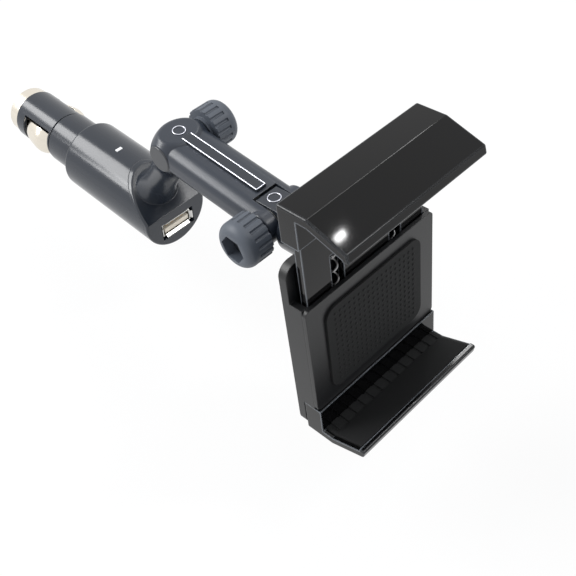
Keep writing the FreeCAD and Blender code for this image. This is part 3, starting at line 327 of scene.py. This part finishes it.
# Polished-mould ABS of the jaws: deep black with crisp reflections, light handling marks, and thin pale edges
# that are a painted highlight.
JAW_ABS = Finish("Piano-black ABS, polished mould, jaws", "#060607", 0.045, specular=0.25,
                 grain=Grain.MOULDED, grain_mm=9.0, grain_depth_mm=0.004, smudge=0.015, edge_highlight=0.4)
# Spark-etched ABS of the holder's back: black with a fine matt tooth that scatters the light.
HOUSING_ABS = Finish("Satin ABS, spark-etched mould, housing", "#131416", 0.42, grain=Grain.ETCHED,
                     grain_mm=0.6, grain_depth_mm=0.02, edge_mm=0.4)
# Satin ABS of the arm: blue-grey black that shows a broad soft sheen along its rounded flanks.
ARM_ABS = Finish("Satin ABS, arm, blue-grey black", "#2a303a", 0.32, grain=Grain.MOULDED, grain_mm=3.0,
                 grain_depth_mm=0.015, edge_mm=0.35)
# Glass-filled nylon of the knobs and collar: charcoal, dull, with an even fine grain.
KNOB_NYLON = Finish("Glass-filled nylon, moulded, knobs", "#50565f", 0.5, grain=Grain.ETCHED, grain_mm=0.7,
                    grain_depth_mm=0.03, edge_mm=0.3)
# Bright nickel plate on pressed brass: warm white metal with a soft mirror.
NICKEL = Finish("Nickel plate on brass, polished", "#e6dfd2", 0.2, metallic=1.0, grain=Grain.DRAWN,
                grain_mm=0.8, grain_depth_mm=0.004, edge_mm=0.25)
# Tinned steel sheet of the port's shell: cool grey, slightly brushed by the rolls.
PORT_STEEL = Finish("Tinned steel sheet, rolled, port shell", "#d0d0ce", 0.28, metallic=1.0,
                    grain=Grain.DRAWN, grain_mm=0.4, grain_depth_mm=0.003, edge_mm=0.1)
# Thermoplastic of the port's tongue: warm cream, dull.
PORT_PLASTIC = Finish("PBT, moulded, port tongue cream", "#efe7d6", 0.5, grain=Grain.MOULDED,
                      grain_mm=1.5, grain_depth_mm=0.01, edge_mm=0.15)
# Thin gold flash on the port's contacts: yellow and bright.
GOLD = Finish("Gold flash on bronze, port contacts", "#e8c274", 0.22, metallic=1.0, smudge=0.05)
# Epoxy glass laminate of the board: green under a satin mask.
LAMINATE = Finish("Epoxy glass laminate, green mask", "#1f5a36", 0.4, grain=Grain.ETCHED,
                  grain_mm=0.5, grain_depth_mm=0.01)
# Sintered ferrite: dark grey, dull.
FERRITE = Finish("Ferrite, sintered", "#3a3a3d", 0.7, grain=Grain.ETCHED, grain_mm=0.5, grain_depth_mm=0.02)
# Aluminium cans of the capacitors: pale satin metal.
CAN = Finish("Aluminium can, drawn", "#c9cacc", 0.35, metallic=1.0, grain=Grain.DRAWN, grain_mm=0.5,
             grain_depth_mm=0.004)
# Enamelled copper winding: reddish, glossy.
COPPER = Finish("Enamelled copper wire", "#b5632f", 0.3, metallic=1.0, smudge=0.06)
# Silver beads of the thin lines on the arm and of the rings on the hub and knuckle: a painted highlight of the
# light that their edges catch, with a soft, even shine.
HIGHLIGHT_BEADS = Finish("Silver beads, painted highlight lines", "#d8dae4", 0.3, metallic=1.0, smudge=0.06)
# Clear glass of the fuse: thin, smooth, almost colourless.
FUSE_GLASS = Finish("Soda-lime glass tube, fuse", "#eef2f2", 0.05, ior=1.52, transmission=0.8)
# Milky polycarbonate of the charging light's window: bright white and glossy.
LENS = Finish("Diffuser polycarbonate, milk white", "#f5f6f7", 0.18, ior=1.58, smudge=0.04)
# Music wire of the springs: grey drawn steel.
SPRING = Finish("Music wire, drawn", "#9a9a9b", 0.3, metallic=1.0, smudge=0.06)
# Black-oxide steel of bolts, nuts and screws: dark with a low oily sheen.
BLACK_STEEL = Finish("Steel, black oxide", "#2a2d32", 0.38, specular=0.7, grain=Grain.ETCHED, grain_mm=0.5,
                     grain_depth_mm=0.015, edge_mm=0.2)
# Near-black crosses set on the screws' heads: painted shade of their driver recesses, unpolished, almost
# without light.
RECESS_SHADE = Finish("Near-black cross, painted shade of driver recess", "#0b0b0c", 0.75, specular=0.3, grain=Grain.ETCHED,
                      grain_mm=0.5, grain_depth_mm=0.02)
# Natural nylon of the friction washers: off-white, waxy, dull.
WASHER_NYLON = Finish("Nylon 66, natural", "#bdbcb6", 0.5, grain=Grain.MOULDED, grain_mm=2.0,
                      grain_depth_mm=0.01)
# Moulded silicone of the pads: dead black, dusty, no reflection.
RUBBER = Finish("Silicone rubber, moulded, pads", "#111213", 0.75, specular=0.3, grain=Grain.ETCHED,
                grain_mm=0.8, grain_depth_mm=0.03, edge_mm=0.3)


class RepeatTree:
    """A geometry tree with named inputs that places a repeated or path-following shape."""

    def __init__(self, name: str, inputs: dict[str, tuple[str, Any]]) -> None:
        """Start the tree with its inputs.

        Args:
            name: Name of the tree.
            inputs: Socket type and default value by input name.
        """
        self.tree = bpy.data.node_groups.new(name, "GeometryNodeTree")
        self.sockets: dict[str, Any] = {}
        for label, (kind, value) in inputs.items():
            socket = self.tree.interface.new_socket(name=label, in_out="INPUT", socket_type=kind)
            if value is not None:
                socket.default_value = value
            self.sockets[label] = socket
        self.tree.interface.new_socket(name="Geometry", in_out="OUTPUT", socket_type="NodeSocketGeometry")
        self.given = add_node(self.tree, "NodeGroupInput").outputs

    def add(self, kind: str, settings: dict[str, Any] | None = None, values: dict[Any, Any] | None = None,
            links: dict[Any, Any] | None = None) -> bpy.types.Node:
        """Add a node to this tree, with the arguments of add_node.

        Returns:
            The new node.
        """
        return add_node(self.tree, kind, settings, values, links)

    def close(self, geometry: bpy.types.NodeSocket, finish: Finish) -> None:
        """End the tree with real geometry in one finish.

        Args:
            geometry: The geometry to hand out.
            finish: Finish of the whole geometry.
        """
        real = self.add("GeometryNodeRealizeInstances", links={"Geometry": geometry})
        dressed = self.add("GeometryNodeSetMaterial", values={"Material": finish.material()},
                           links={"Geometry": real.outputs["Geometry"]})
        self.add("NodeGroupOutput", links={"Geometry": dressed.outputs["Geometry"]})

    def mesh(self, name: str, values: dict[str, Any], place: Matrix) -> bpy.types.Object:
        """Evaluate the tree to a plain mesh object in the row frame.

        Args:
            name: Name of the piece.
            values: Input values by name.
            place: Matrix from the tree's own frame to the row frame.

        Returns:
            An object at the origin with its place in its mesh.
        """
        carrier = bpy.data.objects.new(name + "_tree", bpy.data.meshes.new(name + "_tree"))
        bpy.context.scene.collection.objects.link(carrier)
        modifier = carrier.modifiers.new("repeat", "NODES")
        modifier.node_group = self.tree
        for label, value in values.items():
            modifier[self.sockets[label].identifier] = value
        graph = bpy.context.evaluated_depsgraph_get()
        plain = bpy.data.meshes.new_from_object(carrier.evaluated_get(graph))
        bpy.data.objects.remove(carrier, do_unlink=True)
        plain.name = name
        plain.transform(place)
        piece = bpy.data.objects.new(name, plain)
        bpy.context.scene.collection.objects.link(piece)
        return piece


def stud_field_tree(finish: Finish) -> RepeatTree:
    """Return a tree that sets round studs on a flat grid, with the studs standing on the XY plane.

    Args:
        finish: Finish of the studs.

    Returns:
        The tree, with inputs for the field's size, the counts and the stud.
    """
    made = RepeatTree("stud_field", {
        "Width": ("NodeSocketFloat", 0.03), "Height": ("NodeSocketFloat", 0.03),
        "Columns": ("NodeSocketInt", 8), "Rows": ("NodeSocketInt", 8),
        "Stud radius": ("NodeSocketFloat", 0.0006), "Stud scale": ("NodeSocketVector", (1.0, 1.0, 0.5))})
    grid = made.add("GeometryNodeMeshGrid", links={
        "Size X": made.given["Width"], "Size Y": made.given["Height"], "Vertices X": made.given["Columns"],
        "Vertices Y": made.given["Rows"]})
    stud = made.add("GeometryNodeMeshUVSphere", values={"Segments": 10, "Rings": 6},
                    links={"Radius": made.given["Stud radius"]})
    spread = made.add("GeometryNodeInstanceOnPoints", links={
        "Points": grid.outputs["Mesh"], "Instance": stud.outputs["Mesh"], "Scale": made.given["Stud scale"]})
    made.close(spread.outputs["Instances"], finish)
    return made


def line_frame_tree(finish: Finish) -> RepeatTree:
    """Return a tree that lays a half-sunk bead along three sides of a strip, open at the near end.

    Args:
        finish: Finish of the bead.

    Returns:
        The tree, with inputs for the strip's half width, its two ends and the bead.
    """
    made = RepeatTree("line_frame", {
        "Half width": ("NodeSocketFloat", 0.002), "Near": ("NodeSocketFloat", -0.004),
        "Far": ("NodeSocketFloat", -0.038), "Bead radius": ("NodeSocketFloat", 0.0003)})
    mirrored = made.add("ShaderNodeMath", {"operation": "MULTIPLY"}, {1: -1.0}, {0: made.given["Half width"]})
    sides = (made.given["Half width"], mirrored.outputs[0])
    section = made.add("GeometryNodeCurvePrimitiveCircle", values={"Resolution": BEAD_SIDES},
                       links={"Radius": made.given["Bead radius"]})
    corners = {(side, end): made.add("ShaderNodeCombineXYZ", links={"X": sides[side], "Y": made.given[end]})
               for side in (0, 1) for end in ("Near", "Far")}
    frame = made.add("GeometryNodeJoinGeometry")
    for start, stop in (((0, "Near"), (0, "Far")), ((0, "Far"), (1, "Far")), ((1, "Far"), (1, "Near"))):
        path = made.add("GeometryNodeCurvePrimitiveLine", links={
            "Start": corners[start].outputs[0], "End": corners[stop].outputs[0]})
        bead = made.add("GeometryNodeCurveToMesh", values={"Fill Caps": True}, links={
            "Curve": path.outputs["Curve"], "Profile Curve": section.outputs["Curve"]})
        made.tree.links.new(bead.outputs["Mesh"], frame.inputs["Geometry"])
    made.close(frame.outputs["Geometry"], finish)
    return made


def ring_bead_tree(finish: Finish) -> RepeatTree:
    """Return a tree that lays a round bead on a circle about the Z axis.

    Args:
        finish: Finish of the bead.

    Returns:
        The tree, with inputs for the circle and the bead.
    """
    made = RepeatTree("ring_bead", {
        "Radius": ("NodeSocketFloat", 0.002), "Bead radius": ("NodeSocketFloat", 0.0003)})
    path = made.add("GeometryNodeCurvePrimitiveCircle", values={"Resolution": RING_POINTS},
                    links={"Radius": made.given["Radius"]})
    section = made.add("GeometryNodeCurvePrimitiveCircle", values={"Resolution": BEAD_SIDES},
                       links={"Radius": made.given["Bead radius"]})
    bead = made.add("GeometryNodeCurveToMesh", links={
        "Curve": path.outputs["Curve"], "Profile Curve": section.outputs["Curve"]})
    made.close(bead.outputs["Mesh"], finish)
    return made


def cross_recess_tree(finish: Finish) -> RepeatTree:
    """Return a tree that sets a dark cross on each screw head of a rectangle, the painted shade of a driver
    recess.

    Args:
        finish: Finish of the cross, which paints the recess's shade.

    Returns:
        The tree, with inputs for the rectangle and the two bars of the cross.
    """
    made = RepeatTree("cross_recess", {
        "Width": ("NodeSocketFloat", 0.04), "Height": ("NodeSocketFloat", 0.005),
        "Bar": ("NodeSocketVector", (0.0026, 0.0006, 0.0001))})
    corners = made.add("GeometryNodeMeshGrid", values={"Vertices X": 2, "Vertices Y": 2}, links={
        "Size X": made.given["Width"], "Size Y": made.given["Height"]})
    bar = made.add("GeometryNodeMeshCube", links={"Size": made.given["Bar"]})
    crossing = made.add("GeometryNodeTransform", values={"Rotation": (0.0, 0.0, math.pi / 2)},
                        links={"Geometry": bar.outputs["Mesh"]})
    cross = made.add("GeometryNodeJoinGeometry", links={"Geometry": bar.outputs["Mesh"]})
    made.tree.links.new(crossing.outputs["Geometry"], cross.inputs["Geometry"])
    spread = made.add("GeometryNodeInstanceOnPoints", links={
        "Points": corners.outputs["Mesh"], "Instance": cross.outputs["Geometry"]})
    made.close(spread.outputs["Instances"], finish)
    return made


def wound_wire_tree(finish: Finish) -> RepeatTree:
    """Return a tree that winds a round wire up the Z axis.

    Args:
        finish: Finish of the wire.

    Returns:
        The tree, with inputs for the turns, the height, the radius and the wire.
    """
    made = RepeatTree("wound_wire", {
        "Turns": ("NodeSocketFloat", 6.0), "Height": ("NodeSocketFloat", 0.003),
        "Radius": ("NodeSocketFloat", 0.0035), "Wire radius": ("NodeSocketFloat", 0.0003)})
    path = made.add("GeometryNodeCurveSpiral", values={"Resolution": COIL_POINTS}, links={
        "Rotations": made.given["Turns"], "Start Radius": made.given["Radius"],
        "End Radius": made.given["Radius"], "Height": made.given["Height"]})
    section = made.add("GeometryNodeCurvePrimitiveCircle", values={"Resolution": WIRE_SIDES},
                       links={"Radius": made.given["Wire radius"]})
    wire = made.add("GeometryNodeCurveToMesh", values={"Fill Caps": True}, links={
        "Curve": path.outputs["Curve"], "Profile Curve": section.outputs["Curve"]})
    made.close(wire.outputs["Mesh"], finish)
    return made


@dataclass
class SubAssembly(ABC):
    """A group of the mount's pieces that are dressed and added to together.

    Attributes:
        nodes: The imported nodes, by name.
        hinges: Places of the hinges in the row frame, in metres, by name.
    """

    nodes: dict[str, bpy.types.Object]
    hinges: dict[str, Vector]

    @abstractmethod
    def dress(self) -> None:
        """Give the group's nodes their finishes."""

    @abstractmethod
    def build(self) -> None:
        """Add the pieces that are too fine for the solids."""

    def paint(self, finishes: dict[str, Finish]) -> None:
        """Give each named node its finish.

        Args:
            finishes: Finish by node name.
        """
        for name, finish in finishes.items():
            slots = self.nodes[name].data.materials
            slots.clear()
            slots.append(finish.material())
            LOG.info("dressed %s in %s", name, finish.name)

    @staticmethod
    def ride(piece: bpy.types.Object, body: Body, slot: str) -> None:
        """Fasten an added piece to a body.

        Args:
            piece: The finished piece.
            body: The body that carries it.
            slot: The record's material slot. Not used.
        """
        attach(piece, body.value)
        LOG.info("added %s on %s", piece.name, body.value)

    def stretch(self, node: str, held: tuple[Body, Body], start: Vector, end: Vector) -> None:
        """Put a copy of a spring's wire, fixed where it stands, in place of its node, and hide the node.

        Args:
            node: The spring's node, whose wire the new piece takes over.
            held: The bodies at its start and at its end.
            start: Point on the spring's axis at its start, in metres. Not used.
            end: Point on the spring's axis at its end. Not used.
        """
        wire = bpy.data.objects.new(node + "_wire", self.nodes[node].data.copy())
        bpy.context.scene.collection.objects.link(wire)
        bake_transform(wire)
        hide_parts(node)
        LOG.info("stretched %s between %s and %s", node, held[0].value, held[1].value)


@dataclass
class LighterPlug(SubAssembly):
    """Plug with its contacts, charger and neck.

    Attributes:
        coil_y: Place of the wound drum along the plug.
        coil_z: Foot of the winding.
        coil_r: Radius of the winding.
        coil_height: Height of the winding.
        coil_turns: Turns of the winding.
        wire_r: Radius of the wire.
    """

    coil_y: float = -22.0
    coil_z: float = 0.5
    coil_r: float = 3.55
    coil_height: float = 2.8
    coil_turns: float = 5.0
    wire_r: float = 0.3

    def build(self) -> None:
        """Add the drum's winding and put a fixed copy of the contact's spring in place of its node."""
        drum = Matrix.Translation(Vector((0, self.coil_y, self.coil_z)) * MM)
        coil = wound_wire_tree(COPPER).mesh("inductor_winding", {
            "Turns": self.coil_turns, "Height": self.coil_height * MM, "Radius": self.coil_r * MM,
            "Wire radius": self.wire_r * MM}, drum)
        self.ride(coil, Body.PLUG, "gold_contact")
        foot, head = (Vector((0, corner[1], 0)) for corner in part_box("contact_spring"))
        self.stretch("contact_spring", (Body.PLUG, Body.CENTRE_PIN), foot, head)

    def dress(self) -> None:
        """Give the plug's nodes their finishes."""
        self.paint({
            "plug_barrel": PLUG_ABS, "body_shell": PLUG_ABS, "front_cap": PLUG_ABS, "nose_cap": NICKEL,
            "centre_contact": NICKEL, "side_contact_left": NICKEL, "side_contact_right": NICKEL,
            "fuse": FUSE_GLASS, "contact_spring": SPRING, "led_lens": LENS, "usb_shell": PORT_STEEL,
            "usb_tongue": PORT_PLASTIC, "usb_contacts": GOLD, "circuit_board": LAMINATE, "inductor": FERRITE,
            "capacitors": CAN})


@dataclass
class HingedArm(SubAssembly):
    """Arm with its bolts, knobs, nuts and washers.

    Attributes:
        tilt: Downward slope of the arm, in degrees.
        strip_half: Half width between the painted highlight lines on the strip.
        strip_near: Near end of the lines, measured along the arm from the neck hinge.
        strip_far: Far end of the lines.
        strip_z: Height of the lines above the hinge axis.
        ring_r: Radius of the painted highlight ring on the hub.
        ring_z: Height of that ring above the hinge axis.
        bead_r: Radius of the lines.
    """

    tilt: float = 2.2
    strip_half: float = 1.85
    strip_near: float = 3.9
    strip_far: float = 37.75
    strip_z: float = 6.52
    ring_r: float = 2.1
    ring_z: float = 6.52
    bead_r: float = 0.2

    def build(self) -> None:
        """Add the painted highlight lines along the strip and the painted highlight ring on the hub."""
        slope = Matrix.Rotation(math.radians(self.tilt), 4, "X")
        place = Matrix.Translation(self.hinges["arm_hinge"]) @ slope
        # The silver lines and ring are beads that paint the highlight on the strip's edges and the hub's ring.
        lines = line_frame_tree(HIGHLIGHT_BEADS).mesh("arm_strip_highlight_lines", {
            "Half width": self.strip_half * MM, "Near": -self.strip_near * MM, "Far": -self.strip_far * MM,
            "Bead radius": self.bead_r * MM}, place @ Matrix.Translation(Vector((0, 0, self.strip_z * MM))))
        self.ride(lines, Body.ARM, "nickel_plate")
        ring = ring_bead_tree(HIGHLIGHT_BEADS).mesh("arm_hub_highlight_ring", {
            "Radius": self.ring_r * MM, "Bead radius": self.bead_r * MM},
            place @ Matrix.Translation(Vector((0, 0, self.ring_z * MM))))
        self.ride(ring, Body.ARM, "nickel_plate")

    def dress(self) -> None:
        """Give the arm's nodes their finishes."""
        self.paint({
            "arm_body": ARM_ABS, "arm_strip": PLUG_ABS, "arm_hinge_bolt": BLACK_STEEL,
            "holder_hinge_bolt": BLACK_STEEL, "arm_knob": KNOB_NYLON, "holder_knob": KNOB_NYLON,
            "arm_knob_nut": BLACK_STEEL, "holder_knob_nut": BLACK_STEEL, "fork_washers": WASHER_NYLON})


@dataclass
class PhoneHolder(SubAssembly):
    """Holder with its swivel, housing, jaws and pads.

    Attributes:
        hinge_back: Distance from the clamp frame's face to the hinge.
        hinge_up: Height of the hinge above the middle of the grip.
        tilt: Backward lean of the holder, in degrees.
        pad_y: Front face of the back pad in the clamp frame.
        pad_middle_z: Middle height of the studded field.
        stud_width: Width of the studded field.
        stud_height: Height of the studded field.
        stud_columns: Studs across.
        stud_rows: Studs up.
        stud_r: Radius of a stud.
        screw_back_y: Rear face of the screw heads in the clamp frame.
        screw_span: Distance between the two screw columns.
        screw_rows: Heights of the screws.
        spring_y: Middle plane of the clamp springs in the clamp frame.
        spring_ends: Heights of their lower and upper ends.
        ring_place: Middle of the painted highlight ring on the knuckle, in the clamp frame.
        ring_r: Radius of that ring.
        bead_r: Radius of its line.
    """

    hinge_back: float = 46.05
    hinge_up: float = 7.1
    tilt: float = 6.0
    pad_y: float = 8.2
    pad_middle_z: float = -11.5
    stud_width: float = 34.0
    stud_height: float = 27.0
    stud_columns: int = 18
    stud_rows: int = 14
    stud_r: float = 0.55
    screw_back_y: float = 17.8
    screw_span: float = 45.6
    screw_rows: tuple[float, float] = (-39.6, -34.9)
    spring_y: float = 12.7
    spring_ends: tuple[float, float] = (-25.65, 20.15)
    ring_place: tuple[float, float, float] = (0.0, 47.65, 13.2)
    ring_r: float = 2.1
    bead_r: float = 0.2

    def clamp_frame(self) -> Matrix:
        """Return the matrix from the clamp's own frame, in metres, to the row frame.

        Returns:
            The matrix at rest.
        """
        lean = Matrix.Rotation(math.radians(-self.tilt), 4, "X")
        back = Matrix.Translation(Vector((0, -self.hinge_back, -self.hinge_up)) * MM)
        return Matrix.Translation(self.hinges["holder_hinge"]) @ lean @ back

    def build(self) -> None:
        """Add the ring, the pad's studs and the screws' crosses, and put a fixed copy of the springs in place
        of their node.
        """
        # The silver ring on the knuckle is a bead that paints a highlight.
        ring = ring_bead_tree(HIGHLIGHT_BEADS).mesh("knuckle_highlight_ring", {
            "Radius": self.ring_r * MM, "Bead radius": self.bead_r * MM},
            self.clamp_frame() @ Matrix.Translation(Vector(self.ring_place) * MM))
        self.ride(ring, Body.STEM, "nickel_plate")
        flat_to_face = Matrix.Rotation(math.pi / 2, 4, "X")
        pad = Matrix.Translation(Vector((0, self.pad_y, self.pad_middle_z)) * MM)
        studs = stud_field_tree(RUBBER).mesh("back_pad_studs", {
            "Width": self.stud_width * MM, "Height": self.stud_height * MM, "Columns": self.stud_columns,
            "Rows": self.stud_rows, "Stud radius": self.stud_r * MM},
            self.clamp_frame() @ pad @ flat_to_face)
        self.ride(studs, Body.HOLDER, "black_rubber")
        low, high = self.screw_rows
        heads = Matrix.Translation(Vector((0, self.screw_back_y, (low + high) / 2)) * MM)
        # The near-black crosses are painted shade of the screws' driver recesses.
        crosses = cross_recess_tree(RECESS_SHADE).mesh("housing_screw_recess_shade", {
            "Width": self.screw_span * MM, "Height": (high - low) * MM},
            self.clamp_frame() @ heads @ flat_to_face)
        self.ride(crosses, Body.HOLDER, "black_oxide_steel")
        foot, head = (self.clamp_frame() @ (Vector((0, self.spring_y, z)) * MM) for z in self.spring_ends)
        self.stretch("clamp_springs", (Body.HOLDER, Body.JAW), foot, head)

    def dress(self) -> None:
        """Give the holder's nodes their finishes."""
        self.paint({
            "swivel_stem": PLUG_ABS, "swivel_collar": KNOB_NYLON, "swivel_washer": WASHER_NYLON,
            "back_housing": HOUSING_ABS, "front_plate": HOUSING_ABS, "back_pad": RUBBER, "lower_jaw": JAW_ABS,
            "lower_pad": RUBBER, "upper_jaw": JAW_ABS, "upper_pad": RUBBER, "clamp_springs": SPRING,
            "housing_screws": BLACK_STEEL})


@dataclass(frozen=True)
class Softbox:
    """A studio lamp with a flat face that points at the mount.

    Attributes:
        name: Name of the lamp.
        direction: Direction from the mount to the lamp.
        distance: Distance in metres.
        width: Width of its face in metres.
        height: Height of its face in metres.
        radiance: Brightness of its face, where 1 is paper white.
    """

    name: str
    direction: tuple[float, float, float]
    distance: float
    width: float
    height: float
    radiance: float

    def place(self, aim: Vector) -> None:
        """Put the lamp in the scene.

        Args:
            aim: The point that it faces.
        """
        lamp = bpy.data.lights.new(self.name, "AREA")
        lamp.shape = "RECTANGLE"
        lamp.size = self.width
        lamp.size_y = self.height
        lamp.energy = self.radiance * math.pi * self.width * self.height
        holder = bpy.data.objects.new(self.name, lamp)
        toward = Vector(self.direction).normalized()
        holder.location = aim + toward * self.distance
        holder.rotation_euler = toward.to_track_quat("Z", "Y").to_euler()
        bpy.context.scene.collection.objects.link(holder)


@dataclass
class Studio:
    """Pale table, soft lamps, white surroundings and the camera.

    Each lamp stands where the mount mirrors it into the camera, so that it makes one streak or spot.

    Attributes:
        table_z: Height of the table, just under the lowest reach of the holder.
        table_half: Half the side of the table, in metres.
        table_glow: Share of the table's white that doesn't depend on the lamps.
        fill: Brightness of the surroundings as a light, where 1 is paper white.
        aim: Point that the lamps face.
        camera_at: Camera's place.
        camera_right: Camera's right direction.
        camera_down: Camera's downward direction.
        focal_px: Focal length in pixels of the square image.
        image_px: Side of the square image.
        lamps: The softboxes.
    """

    table_z: float = -48.0
    table_half: float = 3.0
    table_glow: float = 0.88
    fill: float = 0.55
    aim: tuple[float, float, float] = (0.0, -60.0, 25.0)
    camera_at: tuple[float, float, float] = (-133.2, -247.97, 222.55)
    camera_right: tuple[float, float, float] = (0.698894, -0.714439, -0.033306)
    camera_down: tuple[float, float, float] = (-0.551805, -0.509063, -0.660566)
    focal_px: float = 880.8
    image_px: float = 576.0
    lamps: list[Softbox] = field(default_factory=lambda: [
        Softbox("back_softbox", (-0.36, 0.68, 0.64), 1.1, 0.6, 0.44, 8.4),
        Softbox("left_softbox", (-0.68, 0.58, 0.45), 0.95, 0.3, 0.3, 10.0),
        Softbox("fold_strip", (0.57, 0.34, 0.75), 0.93, 0.04, 0.3, 14.0),
        Softbox("front_strip", (0.44, -0.46, 0.77), 1.0, 0.12, 0.3, 13.0),
        Softbox("overhead_softbox", (0.25, -0.35, 0.9), 1.2, 0.9, 0.9, 0.8),
        Softbox("spot_lamp", (0.487, 0.01, 0.874), 0.9255, 0.009, 0.015, 90.0)])

    def build(self) -> None:
        """Add the table, the lamps, the surroundings and the camera."""
        self._table()
        for lamp in self.lamps:
            lamp.place(Vector(self.aim) * MM)
        self._surroundings()
        self._camera()
        bpy.context.scene.view_settings.view_transform = "Standard"

    def _background_share(self, tree: bpy.types.NodeTree) -> bpy.types.NodeSocket:
        """Return 1 for rays that show the background, straight or through metal and glass.

        Args:
            tree: The tree of the table or the surroundings.

        Returns:
            The socket with the share.
        """
        path = add_node(tree, "ShaderNodeLightPath").outputs
        first = add_node(tree, "ShaderNodeMath", {"operation": "MAXIMUM"}, links={
            0: path["Is Camera Ray"], 1: path["Is Glossy Ray"]})
        both = add_node(tree, "ShaderNodeMath", {"operation": "MAXIMUM"}, links={
            0: first.outputs[0], 1: path["Is Transmission Ray"]})
        return both.outputs[0]

    def _table(self) -> None:
        """Add the pale table, which keeps the mount's shadow."""
        signs = [(-1, -1), (1, -1), (1, 1), (-1, 1)]
        corners = [(x * self.table_half, y * self.table_half, self.table_z * MM) for x, y in signs]
        mesh = bpy.data.meshes.new("table")
        mesh.from_pydata(corners, [], [(0, 1, 2, 3)])
        table = bpy.data.objects.new("table", mesh)
        bpy.context.scene.collection.objects.link(table)
        paper = bpy.data.materials.new("White paper, table")
        paper.use_nodes = True
        tree = paper.node_tree
        tree.nodes.clear()
        matt = add_node(tree, "ShaderNodeBsdfDiffuse", values={"Color": linear("#f7f7f7")})
        glow = add_node(tree, "ShaderNodeEmission", values={"Color": (1, 1, 1, 1), "Strength": 1.0})
        share = add_node(tree, "ShaderNodeMath", {"operation": "MULTIPLY"}, {1: self.table_glow},
                         {0: self._background_share(tree)})
        mixed = add_node(tree, "ShaderNodeMixShader", links={
            0: share.outputs[0], 1: matt.outputs[0], 2: glow.outputs[0]})
        add_node(tree, "ShaderNodeOutputMaterial", links={"Surface": mixed.outputs[0]})
        mesh.materials.append(paper)

    def _surroundings(self) -> None:
        """Make the surroundings white to the eye and in reflections, dimmer as a light."""
        world = bpy.data.worlds.new("White studio")
        bpy.context.scene.world = world
        world.use_nodes = True
        tree = world.node_tree
        tree.nodes.clear()
        fill = add_node(tree, "ShaderNodeBackground", values={
            "Color": linear("#f4f6fa"), "Strength": self.fill})
        white = add_node(tree, "ShaderNodeBackground", values={"Color": (1, 1, 1, 1), "Strength": 1.0})
        mixed = add_node(tree, "ShaderNodeMixShader", links={
            0: self._background_share(tree), 1: fill.outputs[0], 2: white.outputs[0]})
        add_node(tree, "ShaderNodeOutputWorld", links={"Surface": mixed.outputs[0]})

    def _camera(self) -> None:
        """Add the camera at the photograph's viewing angle."""
        data = bpy.data.cameras.new("photo_camera")
        data.sensor_fit = "HORIZONTAL"
        data.sensor_width = 36.0
        data.lens = self.focal_px / self.image_px * data.sensor_width
        data.clip_start = 0.005
        right = Vector(self.camera_right)
        up = -Vector(self.camera_down)
        toward_eye = right.cross(up)
        turn = Matrix((right, up, toward_eye)).transposed().to_4x4()
        camera = bpy.data.objects.new("photo_camera", data)
        camera.matrix_world = Matrix.Translation(Vector(self.camera_at) * MM) @ turn
        bpy.context.scene.collection.objects.link(camera)
        bpy.context.scene.camera = camera


def main() -> None:
    """Dress the solids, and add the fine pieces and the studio."""
    logging.basicConfig(level=logging.INFO, format="%(name)s: %(message)s")
    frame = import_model()
    hinges = {joint["name"]: Vector(joint["pos_m"]) for joint in frame["joints"] if "pos_m" in joint}
    for kind in (LighterPlug, HingedArm, PhoneHolder):
        part = kind(frame["nodes"], hinges)
        part.dress()
        part.build()
    Studio().build()


if __name__ == "__main__":
    main()
